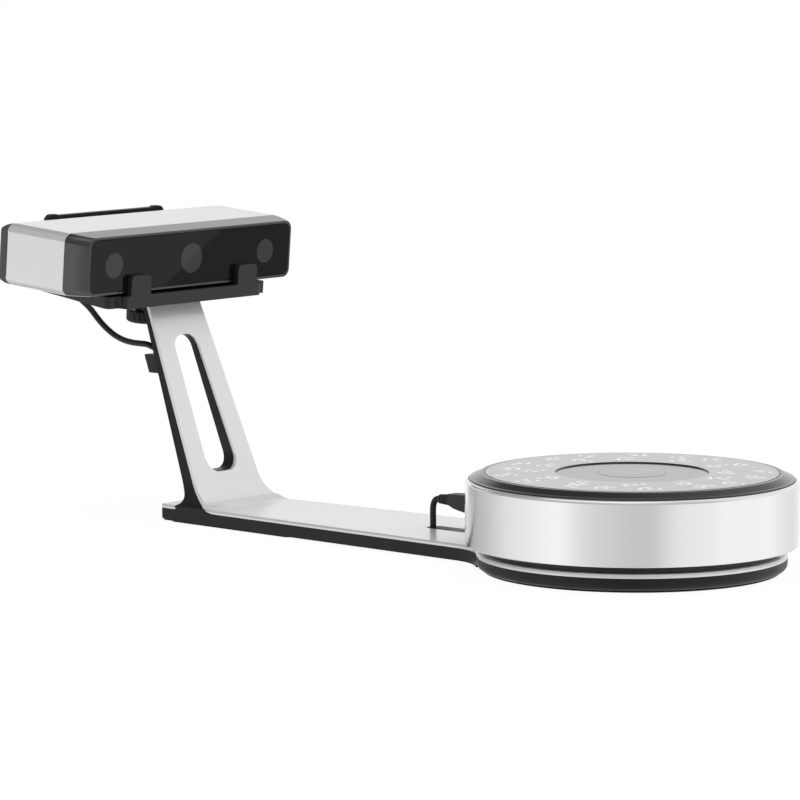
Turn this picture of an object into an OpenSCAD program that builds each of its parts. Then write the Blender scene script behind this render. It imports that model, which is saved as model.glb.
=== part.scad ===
// Desktop 3D scanner: a scan head on a leaning column and a driven turntable on one base.
// Millimetres. The origin is on the platter's axis, on the surface that the scanner stands on.
// +Z is up and +X runs from the column towards the turntable.

/* [Turntable] */
// Outer radius of the silver drum
drum_r = 106; // [103:0.5:110]
// Height of the drum's lower edge above the surface
drum_low = 17.1; // [16:0.1:19]
// Height of the drum's upper edge
drum_high = 58.4; // [57:0.1:60]
// Wall of the drum
drum_wall = 2; // [1.6:0.1:2.4]
// Running gap between the drum and the platter
rim_gap = 0.5; // [0.4:0.05:0.8]
// Height of the platter's marker ring
platter_high = 62.7; // [62:0.1:64]
// Thickness of the marker ring
marker_t = 1.6; // [1.2:0.1:2]
// Distance of the marker ring's edge from the drum's outside
marker_inset = 12.8; // [12:0.2:15]
// Radius of the matt pad in the middle
pad_r = 48.5; // [44:0.5:52]
// Depth of the pad below the marker ring
pad_drop = 0.8; // [0.5:0.1:1]
// Radius of the disc in the middle of the pad
cap_r = 21.4; // [16:0.2:24]

/* [Turntable drive] */
// Module of the gears
gear_module = 1; // [0.95:0.01:1.05]
// Teeth on the motor's pinion
pinion_teeth = 16; // [14:1:18]
// Width of the teeth
gear_face = 6; // [4:0.5:7]
// Play between the teeth at the pitch circle
backlash = 0.3; // [0.2:0.05:0.4]
// Distance of the circle of balls from the drum's outside
race_inset = 24; // [23:0.5:25]
// Number of balls
ball_count = 20; // [12:1:24]
// Diameter of a ball
ball_d = 6; // [5:0.25:6.5]
// Diameter of the spindle
spindle_d = 12; // [10:0.5:14]
// Diameter of the motor
motor_d = 25; // [22:0.5:26]
// Direction of the motor from the platter's axis, in degrees
motor_angle = 40; // [20:5:70]

/* [Base] */
// Thickness of the rubber feet
foot_t = 1.2; // [1:0.1:1.6]
// Height of the black casting above the feet
casting_t = 8.2; // [7.5:0.1:8.8]
// Thickness of the silver skins
skin_t = 2.4; // [2:0.1:2.5]
// Bevel along the silver edge
skin_bevel = 1.2; // [0.6:0.1:1.5]
// Radius of the disc under the turntable
disc_r = 99; // [97:0.5:101]
// Half width of the tongue where it meets the disc
tongue_front = 49; // [45:0.5:52]
// Half width of the tongue at its rear end
tongue_rear = 37; // [35:0.5:40]
// Distance of the rear end from the platter's axis
tail_x = 378; // [374:1:386]
// Radius of the curves between tongue and disc
blend_r = 40; // [30:1:50]
// Length of the cable slot
cable_slot_l = 42; // [38:1:46]
// Width of the cable slot
cable_slot_w = 13; // [11:0.5:15]

/* [Column] */
// Distance of the column's front from the platter's axis, at the base
column_x = 343; // [341:0.5:346]
// Lean of the column, in degrees
column_lean = 22.5; // [21.5:0.1:23.5]
// Half width of the column at the base
column_foot = 32.6; // [31:0.1:35]
// Half width of the column under the cradle
column_top = 25; // [24:0.1:28]
// Thickness of the column at the base, skin included
column_foot_t = 11.6; // [10.5:0.1:12]
// Thickness of the column under the cradle, skin included
column_top_t = 5.6; // [4.6:0.1:6]
// Radius of the curve between the tongue and the column's front
foot_r = 28; // [24:0.5:30]
// Radius of the curve behind the column
back_r = 6; // [4:0.5:7]
// Height of the slot's lower end
slot_low = 33.4; // [32:0.2:36]
// Height of the slot's upper end
slot_high = 123.4; // [119:0.2:126]
// Half width of the slot at its lower end
slot_foot = 15.2; // [13:0.2:16]
// Half width of the slot at its upper end
slot_top = 11.2; // [9:0.2:12]

/* [Scan head] */
// Distance of the glass from the platter's axis
head_x = 381.5; // [380:0.5:385]
// Height of the middle of the glass
head_z = 176.6; // [174:0.2:180]
// Tilt of the head, nose down, in degrees
head_tilt = 4.5; // [3:0.1:6]
// Half length of the head
head_half = 106; // [102:0.2:109]
// Half height of the head behind the bezel
head_rise = 21.2; // [20.3:0.1:22]
// Depth of the head
head_depth = 82; // [78:0.5:86]
// Depth of the front bezel
bezel_depth = 18; // [16:0.5:21]
// Depth of the rear cover
cover_depth = 10; // [8.5:0.5:11]
// Wall of the head's housing
head_wall = 2.2; // [1.8:0.1:2.6]
// Distance of each camera from the head's end
camera_inset = 30.8; // [28:0.2:33]
// Diameter of a camera window
camera_window = 17; // [15:0.2:19]
// Diameter of the projector window
projector_window = 20.6; // [18:0.2:23]

/* [Cradle] */
// Half length of the front lip
lip_half = 67.5; // [66:0.5:70]
// Thickness of the lip and its lugs
lip_t = 3.8; // [3:0.1:4.5]
// Height of the lip's edge above the tray's underside
tray_h = 8.6; // [7.5:0.1:9]
// Width of a lug
lug_w = 19; // [16:0.5:22]
// Distance of each lug from the middle
lug_offset = 52.8; // [50:0.2:56]
// Height of the lugs above the tray's underside
lug_h = 22.3; // [19:0.2:24]
// Half width of the tray at the front
tray_front = 79; // [77:0.5:82]
// Half width of the tray at the rear
tray_rear = 60; // [58:0.5:64]
// Height of the rear plate above the tray's underside
rear_plate_h = 51.3; // [50.5:0.1:53]
// Diameter of the thumbscrew's grip
knob_d = 26; // [22:0.5:30]
// Travel of the thumbscrew
knob_travel = 6; // [4:0.5:7]

/* [Link cable] */
// Diameter of the cable
cable_d = 4.2; // [3.8:0.1:4.4]
// Height of the plug's axis at the drum
plug_z = 31; // [29:0.5:33]
// Length of the plug between drum and strain relief
plug_l = 44; // [40:1:46]

/* [Hidden] */
$fn = 96;

// Named clearances and overruns
eps = 0.02;             // overrun of a cut
fit_gap = 0.2;          // gap round a piece that is set into another
run_gap = 0.3;          // gap between pieces that move past each other
over = 1;               // overrun of a deep cut, or lap inside one piece
shaft_gap = 0.04;       // radial gap of a running shaft
arc_steps = 7;          // steps along a rounded corner
wide_r = 15;            // from this radius on a corner has three times the steps

// Heights of the base
casting_low = foot_t;
casting_high = casting_low + casting_t;
base_top = casting_high + skin_t;

// Vectors
function unit(v) = v / norm(v);
function clamp(x) = max(-1, min(1, x));
function along(angle) = [cos(angle), sin(angle)];
function turn_to(a0, a1) = let (d = a1 - a0) d > 180 ? d - 360 : d < -180 ? d + 360 : d;

// The points of a corner b, between a and c, rounded with radius r
function corner(a, b, c, r) =
    r <= 0 ? [b] :
    let (
        u = unit(a - b),
        v = unit(c - b),
        half = acos(clamp(u * v)) / 2,
        start = b + u * r / tan(half),
        end = b + v * r / tan(half),
        centre = b + unit(u + v) * r / sin(half),
        a0 = atan2((start - centre).y, (start - centre).x),
        sweep = turn_to(a0, atan2((end - centre).y, (end - centre).x)),
        steps = r > wide_r ? 3 * arc_steps : arc_steps
    )
    [for (k = [0 : steps]) centre + r * along(a0 + sweep * k / steps)];

// A closed outline whose corners p are rounded with the radii r
function rounded(p, r) =
    [for (i = [0 : len(p) - 1])
        each corner(p[(i + len(p) - 1) % len(p)], p[i], p[(i + 1) % len(p)], r[i])];

function mirrored(p) = concat(p, [for (i = [len(p) - 1 : -1 : 0]) [p[i].x, -p[i].y]]);
function same(value, count) = [for (i = [1 : count]) value];

module rounded_slab(size, r) {
    x = size.x / 2;
    y = size.y / 2;
    linear_extrude(size.z) polygon(rounded([[-x, -y], [x, -y], [x, y], [-x, y]], same(r, 4)));
}

// A side outline, X to the right and Z up, carried along Y
module across(half) {
    rotate([90, 0, 0]) linear_extrude(2 * half, center = true) children();
}

// A front outline, Y to the right and Z up, carried along X from one place to another
module lengthwise(from, to) {
    translate([from, 0, 0]) rotate([90, 0, 90]) linear_extrude(to - from) children();
}

module ring(inner, outer, low, high) {
    translate([0, 0, low]) difference() {
        cylinder(h = high - low, r = outer);
        translate([0, 0, -eps]) cylinder(h = high - low + 2 * eps, r = inner);
    }
}

module disc(radius, low, high) {
    translate([0, 0, low]) cylinder(h = high - low, r = radius);
}

// Copies at count places on a circle
module around(count, radius, start = 0) {
    for (i = [0 : count - 1])
        rotate([0, 0, start + 360 * i / count]) translate([radius, 0, 0]) children();
}

module both_sides() {
    for (side = [0, 1]) mirror([0, side, 0]) children();
}

// The base's outline: a disc, a tongue that narrows towards the rear, and concave blends
function tongue_half(x) = tongue_rear + (tongue_front - tongue_rear) * (x + tail_x) / (tail_x - disc_r);
blend_y = tongue_front + blend_r;
blend_x = -sqrt(pow(disc_r + blend_r, 2) - pow(blend_y, 2));
blend_centre = [blend_x, blend_y];
blend_touch = [blend_x, blend_y] * disc_r / (disc_r + blend_r);
tongue_end_x = blend_x;
tail_corner_r = 4;
tongue_taper = atan((tongue_front - tongue_rear) / (tongue_end_x + tail_x));
tongue_edge = norm([tongue_end_x + tail_x, tongue_front - tongue_rear]);

// The tongue's plan, its rear corners rounded
module tongue_plan() {
    polygon(rounded([[-tail_x, -tongue_rear], [tongue_end_x, -tongue_front], [0, -tongue_front],
        [0, tongue_front], [tongue_end_x, tongue_front], [-tail_x, tongue_rear]],
        [tail_corner_r, 0, 0, 0, 0, tail_corner_r]));
}

// The concave blends start and end just inside the tongue's edge and the disc
blend_lap = 0.05;
blend_steps = 16;
blend_turn = atan2(-blend_centre.y, -blend_centre.x) + 90;
module blend_plan() {
    arc = [for (k = [1 : blend_steps - 1]) blend_centre + blend_r * along(-90 + blend_turn * k / blend_steps)];
    both_sides() polygon(concat([[tongue_end_x - blend_r / 2, 0], [tongue_end_x - blend_r / 2, tongue_front / 2],
        [tongue_end_x - blend_lap, tongue_front - blend_lap]], arc,
        [blend_touch * (1 - blend_lap / disc_r), [blend_touch.x + blend_r / 2, 0]]));
}

// The tongue's skin between two distances from the platter's axis, its top edges bevelled
module tongue_skin(rear, front) {
    edge = [[-skin_bevel - eps, base_top + eps], [eps, base_top - skin_bevel - eps], [skin_bevel, base_top + eps]];
    difference() {
        translate([0, 0, casting_high]) linear_extrude(skin_t) intersection() {
            union() {
                tongue_plan();
                blend_plan();
            }
            translate([-rear, -disc_r]) square([rear - front, 2 * disc_r]);
        }
        both_sides() {
            translate([-tail_x, tongue_rear, 0]) rotate([0, 0, tongue_taper])
                lengthwise(-tongue_rear, tongue_edge) polygon(edge);
            translate([blend_x, blend_y, base_top - skin_bevel])
                cylinder(h = skin_bevel + eps, r1 = blend_r + blend_lap, r2 = blend_r + skin_bevel + blend_lap);
        }
    }
}

// The column's own lines. s runs up its front from the base's top
function column_at(s) = [-column_x - s * sin(column_lean), base_top + s * cos(column_lean)];
function column_front_x(z) = -column_x - (z - base_top) * tan(column_lean);
column_normal = [cos(column_lean), sin(column_lean)];
foot_angle = 90 + column_lean;
foot_run = foot_r / tan(foot_angle / 2);
foot_centre = [-column_x + foot_run, base_top + foot_r];
foot_from = 180 + column_lean;
seam_share = 0.4;
seam_angle = 270 - (270 - foot_from) * seam_share;
seam_gap = asin(fit_gap / foot_r / 2);

// Height of the tray's underside, where the column ends
tray_low = -head_rise - tray_h;
column_end_u = -19;
function head_point(u, v) =
    [-head_x + u * cos(head_tilt) + v * sin(head_tilt), head_z - u * sin(head_tilt) + v * cos(head_tilt)];
column_s = (head_point(column_end_u, tray_low).y - base_top) / cos(column_lean);
column_z = column_at(column_s).y;
flare = tongue_half(-column_x) - column_foot;
flare_h = 18;
back_margin = 0.5;
back_run = back_r + back_margin;
function column_half(z) = column_foot + (column_top - column_foot) * (z - base_top) / (column_z - base_top);
flare_steps = 8;

// The column's front outline, with the sides flaring out to the tongue
column_side = concat(
    [[casting_low, tongue_half(-column_x)]],
    [for (i = [0 : flare_steps]) let (t = i / flare_steps, z = base_top + flare_h * t)
        [z, column_half(z) + flare * (1 - sqrt(1 - pow(1 - t, 2)))]],
    [[column_z + tray_h, column_half(column_z + tray_h)]]
);

module column_outline() {
    polygon(mirrored_halves([for (p = column_side) [p.y, p.x]]));
}

function mirrored_halves(p) = concat(p, [for (i = [len(p) - 1 : -1 : 0]) [-p[i].x, p[i].y]]);

// The slot's outline on the column's front, Y to the right and Z up, grown by a margin
slot_low_r = 10;
slot_high_r = 9;
slot_reveal = 0.5;
module slot_outline(margin) {
    low = slot_low - margin;
    high = slot_high + margin;
    polygon(rounded(
        [[-slot_foot - margin, low], [slot_foot + margin, low], [slot_top + margin, high], [-slot_top - margin, high]],
        [slot_low_r + margin, slot_low_r + margin, slot_high_r + margin, slot_high_r + margin]));
}

// The front's side line, set in by an amount, from the top to where the curve runs out into the base
function front_line(inset) =
    let (
        top = column_at(column_s) - inset * column_normal,
        low = [-column_x - inset * (1 - sin(column_lean)) / cos(column_lean), base_top - inset]
    )
    concat([top], corner(top, low, [foot_centre.x, low.y], foot_r + inset));
function reversed(p) = [for (i = [len(p) - 1 : -1 : 0]) p[i]];

// The skin's side outline between two directions from the front curve's centre
module skin_profile(a0, a1) {
    reach = column_x;
    intersection() {
        polygon(concat(front_line(0), reversed(front_line(skin_t))));
        polygon([foot_centre, foot_centre + reach * along(a0), foot_centre + reach * along((a0 + a1) / 2),
            foot_centre + reach * along(a1)]);
    }
}

// Side outline of the black casting's column, with a small curve where it meets the tail
module column_profile() {
    high = column_at(column_s) - column_top_t * column_normal;
    low = [-column_back_x(base_top), base_top];
    tail = low - [back_run, 0];
    polygon(concat(front_line(skin_t), [[foot_centre.x, casting_low], [tail.x, casting_low]], [tail],
        corner(tail, low, high, back_r), [high]));
}

// Places on the head's own axes: u forward from the glass, y along the head and v up
module in_head() {
    translate([-head_x, 0, head_z]) rotate([0, head_tilt, 0]) children();
}

// Cable channel under the casting
channel_w = 7;
channel_h = 6.6;
channel_y = -18;
channel_bend_rear = -338;
channel_bend_front = -300;
slot_rear_x = -169;
slot_mid_x = slot_rear_x + cable_slot_l / 2;
tail_hole_x = -365.9;
cover_t = 1.4;
cover_margin = 5;
channel_line = [[tail_hole_x, channel_y], [channel_bend_rear, channel_y], [channel_bend_front, 0],
    [slot_mid_x, 0]];

module channel_run(width, from, to) {
    for (i = [0 : len(channel_line) - 2])
        strip(channel_line[i], channel_line[i + 1], width, from, to);
}

// A straight strip with round ends between two points
module strip(a, b, width, from, to) {
    run = norm(b - a);
    translate([a.x, a.y, from]) rotate([0, 0, atan2((b - a).y, (b - a).x)]) {
        translate([0, -width / 2, 0]) cube([run, width, to - from]);
        cylinder(h = to - from, r = width / 2);
        translate([run, 0, 0]) cylinder(h = to - from, r = width / 2);
    }
}

module cable_slot(from, to) {
    strip([slot_rear_x + cable_slot_w / 2, 0], [slot_rear_x + cable_slot_l - cable_slot_w / 2, 0],
        cable_slot_w, from, to);
}

// Screws that hold the drum on the base
base_screw_count = 4;
base_screw_inset = 20;
base_screw_d = 4;
base_screw_head = 8;
base_screw_head_h = 2.6;
base_screw_top = drum_low;
chassis_floor = 3;
chassis_boss_d = 10;

// The marker ring, the circle of balls and the screws inside it follow the drum
marker_r = drum_r - marker_inset;
race_r = drum_r - race_inset;
base_screw_r = race_r - base_screw_inset;

// The casting's disc, with its lower edge rounded inwards
disc_round = 4.5;
foot_disc_r = disc_r - disc_round;
disc_profile = concat([[0, casting_low], [foot_disc_r, casting_low]],
    [for (k = [1 : arc_steps]) let (a = 90 * k / arc_steps)
        [foot_disc_r + disc_round * sin(a), casting_low + disc_round * (1 - cos(a))]],
    [[disc_r, casting_high], [0, casting_high]]);
tail_chamfer = 5;

module stand_frame() {
    color("#1d1d1f") difference() {
        union() {
            rotate_extrude() polygon(disc_profile);
            difference() {
                translate([0, 0, casting_low]) linear_extrude(casting_t) {
                    tongue_plan();
                    blend_plan();
                }
                across(disc_r) polygon([[-tail_x - eps, casting_low - eps],
                    [-tail_x + tail_chamfer, casting_low - eps], [-tail_x - eps, casting_low + tail_chamfer / 2]]);
            }
            intersection() {
                across(disc_r) column_profile();
                lengthwise(-tail_x - head_depth, -disc_r) column_outline();
            }
            column_shoulder();
        }
        in_head() translate([-head_depth, -disc_r, tray_low]) cube([2 * head_depth, 2 * disc_r, head_depth]);
        lengthwise(-tail_x - head_depth, -disc_r) slot_outline(0);
        channel_run(channel_w, casting_low - eps, casting_low + channel_h);
        disc_at(tail_hole_x, channel_w / 2, casting_low, base_top, channel_y);
        cable_slot(casting_low + cover_t, casting_high + eps);
        bottom_cover_solid(fit_gap, casting_low - eps, casting_low + cover_t + fit_gap);
        around(base_screw_count, base_screw_r) {
            disc(base_screw_head / 2 + fit_gap, casting_low - eps, casting_low + base_screw_head_h);
            disc(base_screw_d / 2 + fit_gap, casting_low, casting_high + eps);
        }
        cradle_screw_holes();
    }
}

// The column's head thickens behind, where the cradle is screwed to it
shoulder_half = 17;
shoulder_h = 9;
shoulder_rear_u = -29;
shoulder_front_u = -19.6;
shoulder_r = 2;
module column_shoulder() {
    in_head() translate([shoulder_rear_u, -shoulder_half, tray_low - shoulder_h])
        rounded_block([shoulder_front_u - shoulder_rear_u, 2 * shoulder_half, shoulder_h], shoulder_r);
}

// A block from its own corner, upright edges rounded
module rounded_block(size, r) {
    translate([size.x / 2, size.y / 2, 0]) rounded_slab(size, r);
}

cradle_screw_d = 4;
cradle_screw_head = 7.4;
cradle_screw_head_h = 2.4;
cradle_screw_l = 9;
cradle_screw_y = 11;
cradle_screw_u = -24;
tray_plate = 4;
pad_t = 0.5;

module at_cradle_screws() {
    in_head() for (side = [-1, 1]) translate([cradle_screw_u, side * cradle_screw_y, 0]) children();
}

module cradle_screw_holes() {
    at_cradle_screws() disc(cradle_screw_d / 2, tray_low - shoulder_h - over, tray_low + tray_h);
}

module column_plate() {
    color("#d9d9de") difference() {
        intersection() {
            across(disc_r) skin_profile(column_lean + 90, seam_angle - seam_gap);
            lengthwise(-tail_x - head_depth, -disc_r) column_outline();
        }
        lengthwise(-tail_x - head_depth, -disc_r) slot_outline(slot_reveal);
        in_head() translate([-head_depth, -disc_r, tray_low - fit_gap]) cube([2 * head_depth, 2 * disc_r, head_depth]);
    }
}

flare_low_share = 0.6;
module base_plate() {
    plate_rear = -foot_centre.x;
    color("#d9d9de") difference() {
        union() {
            rotate_extrude() polygon([[0, casting_high], [disc_r, casting_high], [disc_r, base_top - skin_bevel],
                [disc_r - skin_bevel, base_top], [0, base_top]]);
            tongue_skin(plate_rear, 0);
            intersection() {
                across(disc_r) skin_profile(seam_angle + seam_gap, 270);
                lengthwise(-tail_x, -disc_r) polygon(mirrored_halves([
                    [tongue_half(-plate_rear), casting_high],
                    [tongue_half(-plate_rear), base_top - skin_bevel],
                    [column_half(base_top + flare_h) + flare, base_top],
                    [column_half(base_top + flare_h) + flare * flare_low_share, base_top + foot_r / 2]]));
            }
        }
        cable_slot(casting_low, base_top + eps);
        around(base_screw_count, base_screw_r)
            disc(base_screw_d / 2 + fit_gap, casting_low, base_top + eps);
    }
}

module tail_plate() {
    color("#d9d9de") difference() {
        tongue_skin(tail_x, column_back_x(base_top) + back_run + fit_gap);
        disc_at(tail_hole_x, channel_w / 2, casting_low, base_top + eps, channel_y);
    }
}

// Distance of the column's back from the platter's axis at a height
function column_back_x(z) =
    let (t = column_foot_t + (column_top_t - column_foot_t) * (z - base_top) / (column_z - base_top))
    -column_front_x(z) + t / cos(column_lean);

module bottom_cover_solid(grow, low, high) {
    channel_run(channel_w + 2 * cover_margin + 2 * grow, low, high);
}

module bottom_cover() {
    color("#141416") bottom_cover_solid(0, casting_low, casting_low + cover_t);
}

pad_inset = 3;
rear_pad_from = 371;
rear_pad_to = 258;
module rear_foot_pad() {
    color("#101011") linear_extrude(foot_t) polygon(rounded([
        [-rear_pad_from, -tongue_half(-rear_pad_from) + pad_inset],
        [-rear_pad_to, -tongue_half(-rear_pad_to) + pad_inset],
        [-rear_pad_to, tongue_half(-rear_pad_to) - pad_inset],
        [-rear_pad_from, tongue_half(-rear_pad_from) - pad_inset]], same(tail_corner_r, 4)));
}

module disc_foot_pad() {
    color("#101011") cylinder(h = foot_t, r = foot_disc_r);
}

module base_screws() {
    color("#8f9196") around(base_screw_count, base_screw_r) {
        disc(base_screw_head / 2, casting_low + fit_gap, casting_low + base_screw_head_h);
        disc(base_screw_d / 2, casting_low + fit_gap, base_screw_top);
    }
}

// Cable clip on the back of the column's left leg
clip_low = 99;
clip_high = 111.5;
clip_depth = 11;
clip_outer_y = -25.2;
clip_inner_y = -11.4;
clip_r = 1;
clip_seat = 0.05;
leg_cable_gap = 0.4;
function leg_cable_x(z) = -column_back_x(z) - (cable_d / 2 + leg_cable_gap) / cos(column_lean);

module cable_clip() {
    color("#1b1b1d") difference() {
        intersection() {
            across(disc_r) polygon(rounded([
                [-column_back_x(clip_low) - clip_seat, clip_low],
                [-column_back_x(clip_high) - clip_seat, clip_high],
                [-column_back_x(clip_high) - clip_depth, clip_high],
                [-column_back_x(clip_low) - clip_depth, clip_low]], [0, 0, clip_r, clip_r]));
            lengthwise(-tail_x - head_depth, -disc_r)
                polygon([[clip_outer_y, clip_low], [clip_inner_y, clip_low], [clip_inner_y, clip_high],
                    [clip_outer_y, clip_high]]);
        }
        clip_bore();
    }
}

// The bore follows the leg, and the cable lies in it
module clip_bore() {
    low = [leg_cable_x(clip_low - clip_depth), channel_y, clip_low - clip_depth];
    high = [leg_cable_x(clip_high + clip_depth), channel_y, clip_high + clip_depth];
    translate(low) rotate([0, -atan((low - high).x / (high - low).z), 0])
        cylinder(h = norm(high - low), r = cable_d / 2 + fit_gap);
}

// The link cable: from the head down to the clip, down the leg, under the base and up to the drum
cable_low = 4.9;
leg_heights = [113.2, 110, 106, 100, 88, 76, 64, 52, 40, 30, 22];
base_xs = [-290, -278, -266, -254, -242, -230, -218, -206, -194, -182, -174];
cable_path = concat([
    [-484.8, 0, 184.7], [-487.5, 0, 184.8], [-492, 0, 184.6], [-497, 0, 182], [-500, 0, 177], [-501, -0.5, 169],
    [-499.5, -1, 160], [-494.5, -2, 151], [-486, -3.5, 143.5], [-474.5, -5, 137], [-461, -7.5, 127.8],
    [-449, -10.5, 122.3], [-437, -13.5, 118.9], [-425, -16, 117.4], [-413, -17.5, 117.2], [-407, -18, 117.1],
    [-402.4, -18, 115.9]],
    [for (z = leg_heights) [leg_cable_x(z), channel_y, z]],
    [[-366, -18, 16], [-366.3, -18, 11.5], [-366.2, -18, 8], [-364.4, -18, 5.6], [-360.5, -18, 4.9],
    [-346, -18, 4.9], [-338.5, -17.6, 4.9], [-333, -15.5, 4.9], [-318, -8.5, 4.9], [-305, -2.4, 4.9],
    [-299, -0.4, 4.9]],
    [for (x = base_xs) [x, 0, cable_low]],
    [[-170, 0, 5.1], [-167.4, 0, 6.6], [-165.8, 0, 9.4], [-165.5, 0, 13], [-165.5, 0, 19], [-165.5, 0, 24],
    [-165, 0, 27.2], [-163.6, 0, 29.6], [-161.4, 0, 30.8], [-159.2, 0, 31], [-155, 0, 31], [-151.2, 0, 31]]
);
cable_sides = 8;

// A tube along a path: each ring lies square to the way between its neighbours
function path_way(p, i) = unit(p[min(i + 1, len(p) - 1)] - p[max(i - 1, 0)]);
function ring_side(way) = unit(cross(way, [0.1, 1, 0]));
function ring_points(p, i, r) =
    let (way = path_way(p, i), side = ring_side(way), rise = cross(side, way))
    [for (k = [0 : cable_sides - 1]) let (a = 360 * k / cable_sides)
        p[i] + r * (cos(a) * side + sin(a) * rise)];

module tube_along(p, r) {
    rings = len(p);
    points = [for (i = [0 : rings - 1]) each ring_points(p, i, r)];
    walls = [for (i = [0 : rings - 2], k = [0 : cable_sides - 1])
        let (a = i * cable_sides, b = a + cable_sides, n = (k + 1) % cable_sides)
        each [[a + k, a + n, b + n], [a + k, b + n, b + k]]];
    last = (rings - 1) * cable_sides;
    polyhedron(points, concat(walls,
        [[for (k = [cable_sides - 1 : -1 : 0]) k]], [[for (k = [0 : cable_sides - 1]) last + k]]));
}

module link_cable() {
    color("#151517") tube_along(cable_path, cable_d / 2);
}

// Plug and strain relief at the drum
plug_half = 5.5;
plug_rise = 5.8;
plug_drop = 6.4;
plug_neck_drop = 2.4;
plug_r = 0.6;
plug_tail_r = 1;
plug_gap = 0.4;
plug_high = plug_z + plug_rise;
plug_low = plug_z - plug_drop;
plug_neck_low = plug_z - plug_neck_drop;
relief_l = 9;
relief_r = 3.8;
relief_end_r = 3.1;
relief_rings = 4;
relief_groove = 0.7;
plug_front_x = -drum_r - plug_gap;
plug_rear_x = plug_front_x - plug_l;

module drum_plug() {
    neck = plug_l / 8;
    color("#27272a") intersection() {
        across(disc_r) polygon(rounded([[plug_front_x, plug_low], [plug_front_x, plug_high],
            [plug_rear_x, plug_high - neck / 4], [plug_rear_x, plug_neck_low], [plug_rear_x + neck, plug_low + neck / 3],
            [plug_rear_x + 3 * neck, plug_low]], [plug_r, plug_r, plug_tail_r, 0, neck, 2 * neck]));
        linear_extrude(2 * plug_high) polygon(rounded([[plug_front_x, -plug_half], [plug_front_x, plug_half],
            [plug_rear_x + 2 * neck, plug_half], [plug_rear_x, relief_r], [plug_rear_x, -relief_r],
            [plug_rear_x + 2 * neck, -plug_half]], [plug_r, plug_r, neck, plug_r, plug_r, neck]));
    }
}

module strain_relief() {
    step = relief_l / relief_rings;
    color("#27272a") translate([plug_rear_x, 0, plug_z]) rotate([0, -90, 0]) difference() {
        cylinder(h = relief_l, r1 = relief_r, r2 = relief_end_r);
        translate([0, 0, -eps]) cylinder(h = relief_l + 2 * eps, r = cable_d / 2 + shaft_gap);
        for (i = [1 : relief_rings - 1])
            ring(relief_end_r - relief_groove, 2 * relief_r, step * i - relief_groove / 2, step * i + relief_groove / 2);
    }
}

// Plug at the head
head_plug_l = 23;
head_plug_w = 13;
head_plug_h = 8;
head_plug_r = 2;
plug_tip = 4;
link_socket_y = 0;
module head_plug() {
    half = link_bore / 2 - [fit_gap, fit_gap];
    color("#202022") in_head() translate([-head_depth - head_plug_l - run_gap, link_socket_y, 0])
        rotate([90, 0, 90]) difference() {
            union() {
                translate([0, 0, relief_l / 2])
                    rounded_slab([head_plug_w, head_plug_h, head_plug_l - relief_l / 2], head_plug_r);
                cylinder(h = relief_l / 2 + eps, r1 = relief_end_r, r2 = relief_r);
                translate([-half.x, -half.y, head_plug_l - eps]) cube([2 * half.x, 2 * half.y, plug_tip + run_gap]);
            }
            translate([0, 0, -eps]) cylinder(h = relief_l / 4, r = cable_d / 2 + shaft_gap);
        }
}

// The cradle: a ribbed tray, a front lip with two lugs and a rear plate with a window
lip_gap = 0.4;
lip_front = lip_gap + lip_t;
tray_top = -head_rise - pad_t;
lip_top = tray_low + tray_h;
lug_top = tray_low + lug_h;
tray_front_u = -1.5;
rear_plate_t = 3.5;
rear_plate_gap = 0.7;
rear_plate_half = 57.8;
rear_u = head_depth + rear_plate_gap + rear_plate_t;
bump_h = 0.8;
bump_l = 10;
window_half = 50;
window_low = -15;
window_high = 14.5;
window_r = 3;
skirt_t = 3;
tray_rib_t = 2.6;
screw_u = -41;
tray_boss_d = 22;
seat_pad_half = 27;
seat_pad_rear_u = -33;
seat_pad_front_u = -11;
thumb_d = 6.35;
thumb_clear = 0.3;
thumb_hole = thumb_d + 2 * thumb_clear;
tray_rear_r = 8.5;
tray_front_r = 3.5;
lip_end_r = 2.6;
lip_r = 1.2;
lug_foot_r = 1;
lug_r = 3.5;
lug_inner_r = 1.4;
bump_r = 5;
bump_foot_r = 1.5;
cradle_pad_r = 3;

function tray_half(inset) = [
    [-rear_u + inset, tray_rear - inset], [tray_front_u - inset, tray_front - inset],
    [tray_front_u - inset, lip_half - inset], [lip_front - inset, lip_half - inset]];
module tray_outline(inset) {
    radii = [tray_rear_r - inset / 2, tray_front_r - inset / 2, lip_end_r, lip_end_r];
    polygon(rounded(mirrored(tray_half(inset)), concat(radii, [for (i = [3 : -1 : 0]) radii[i]])));
}

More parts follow.
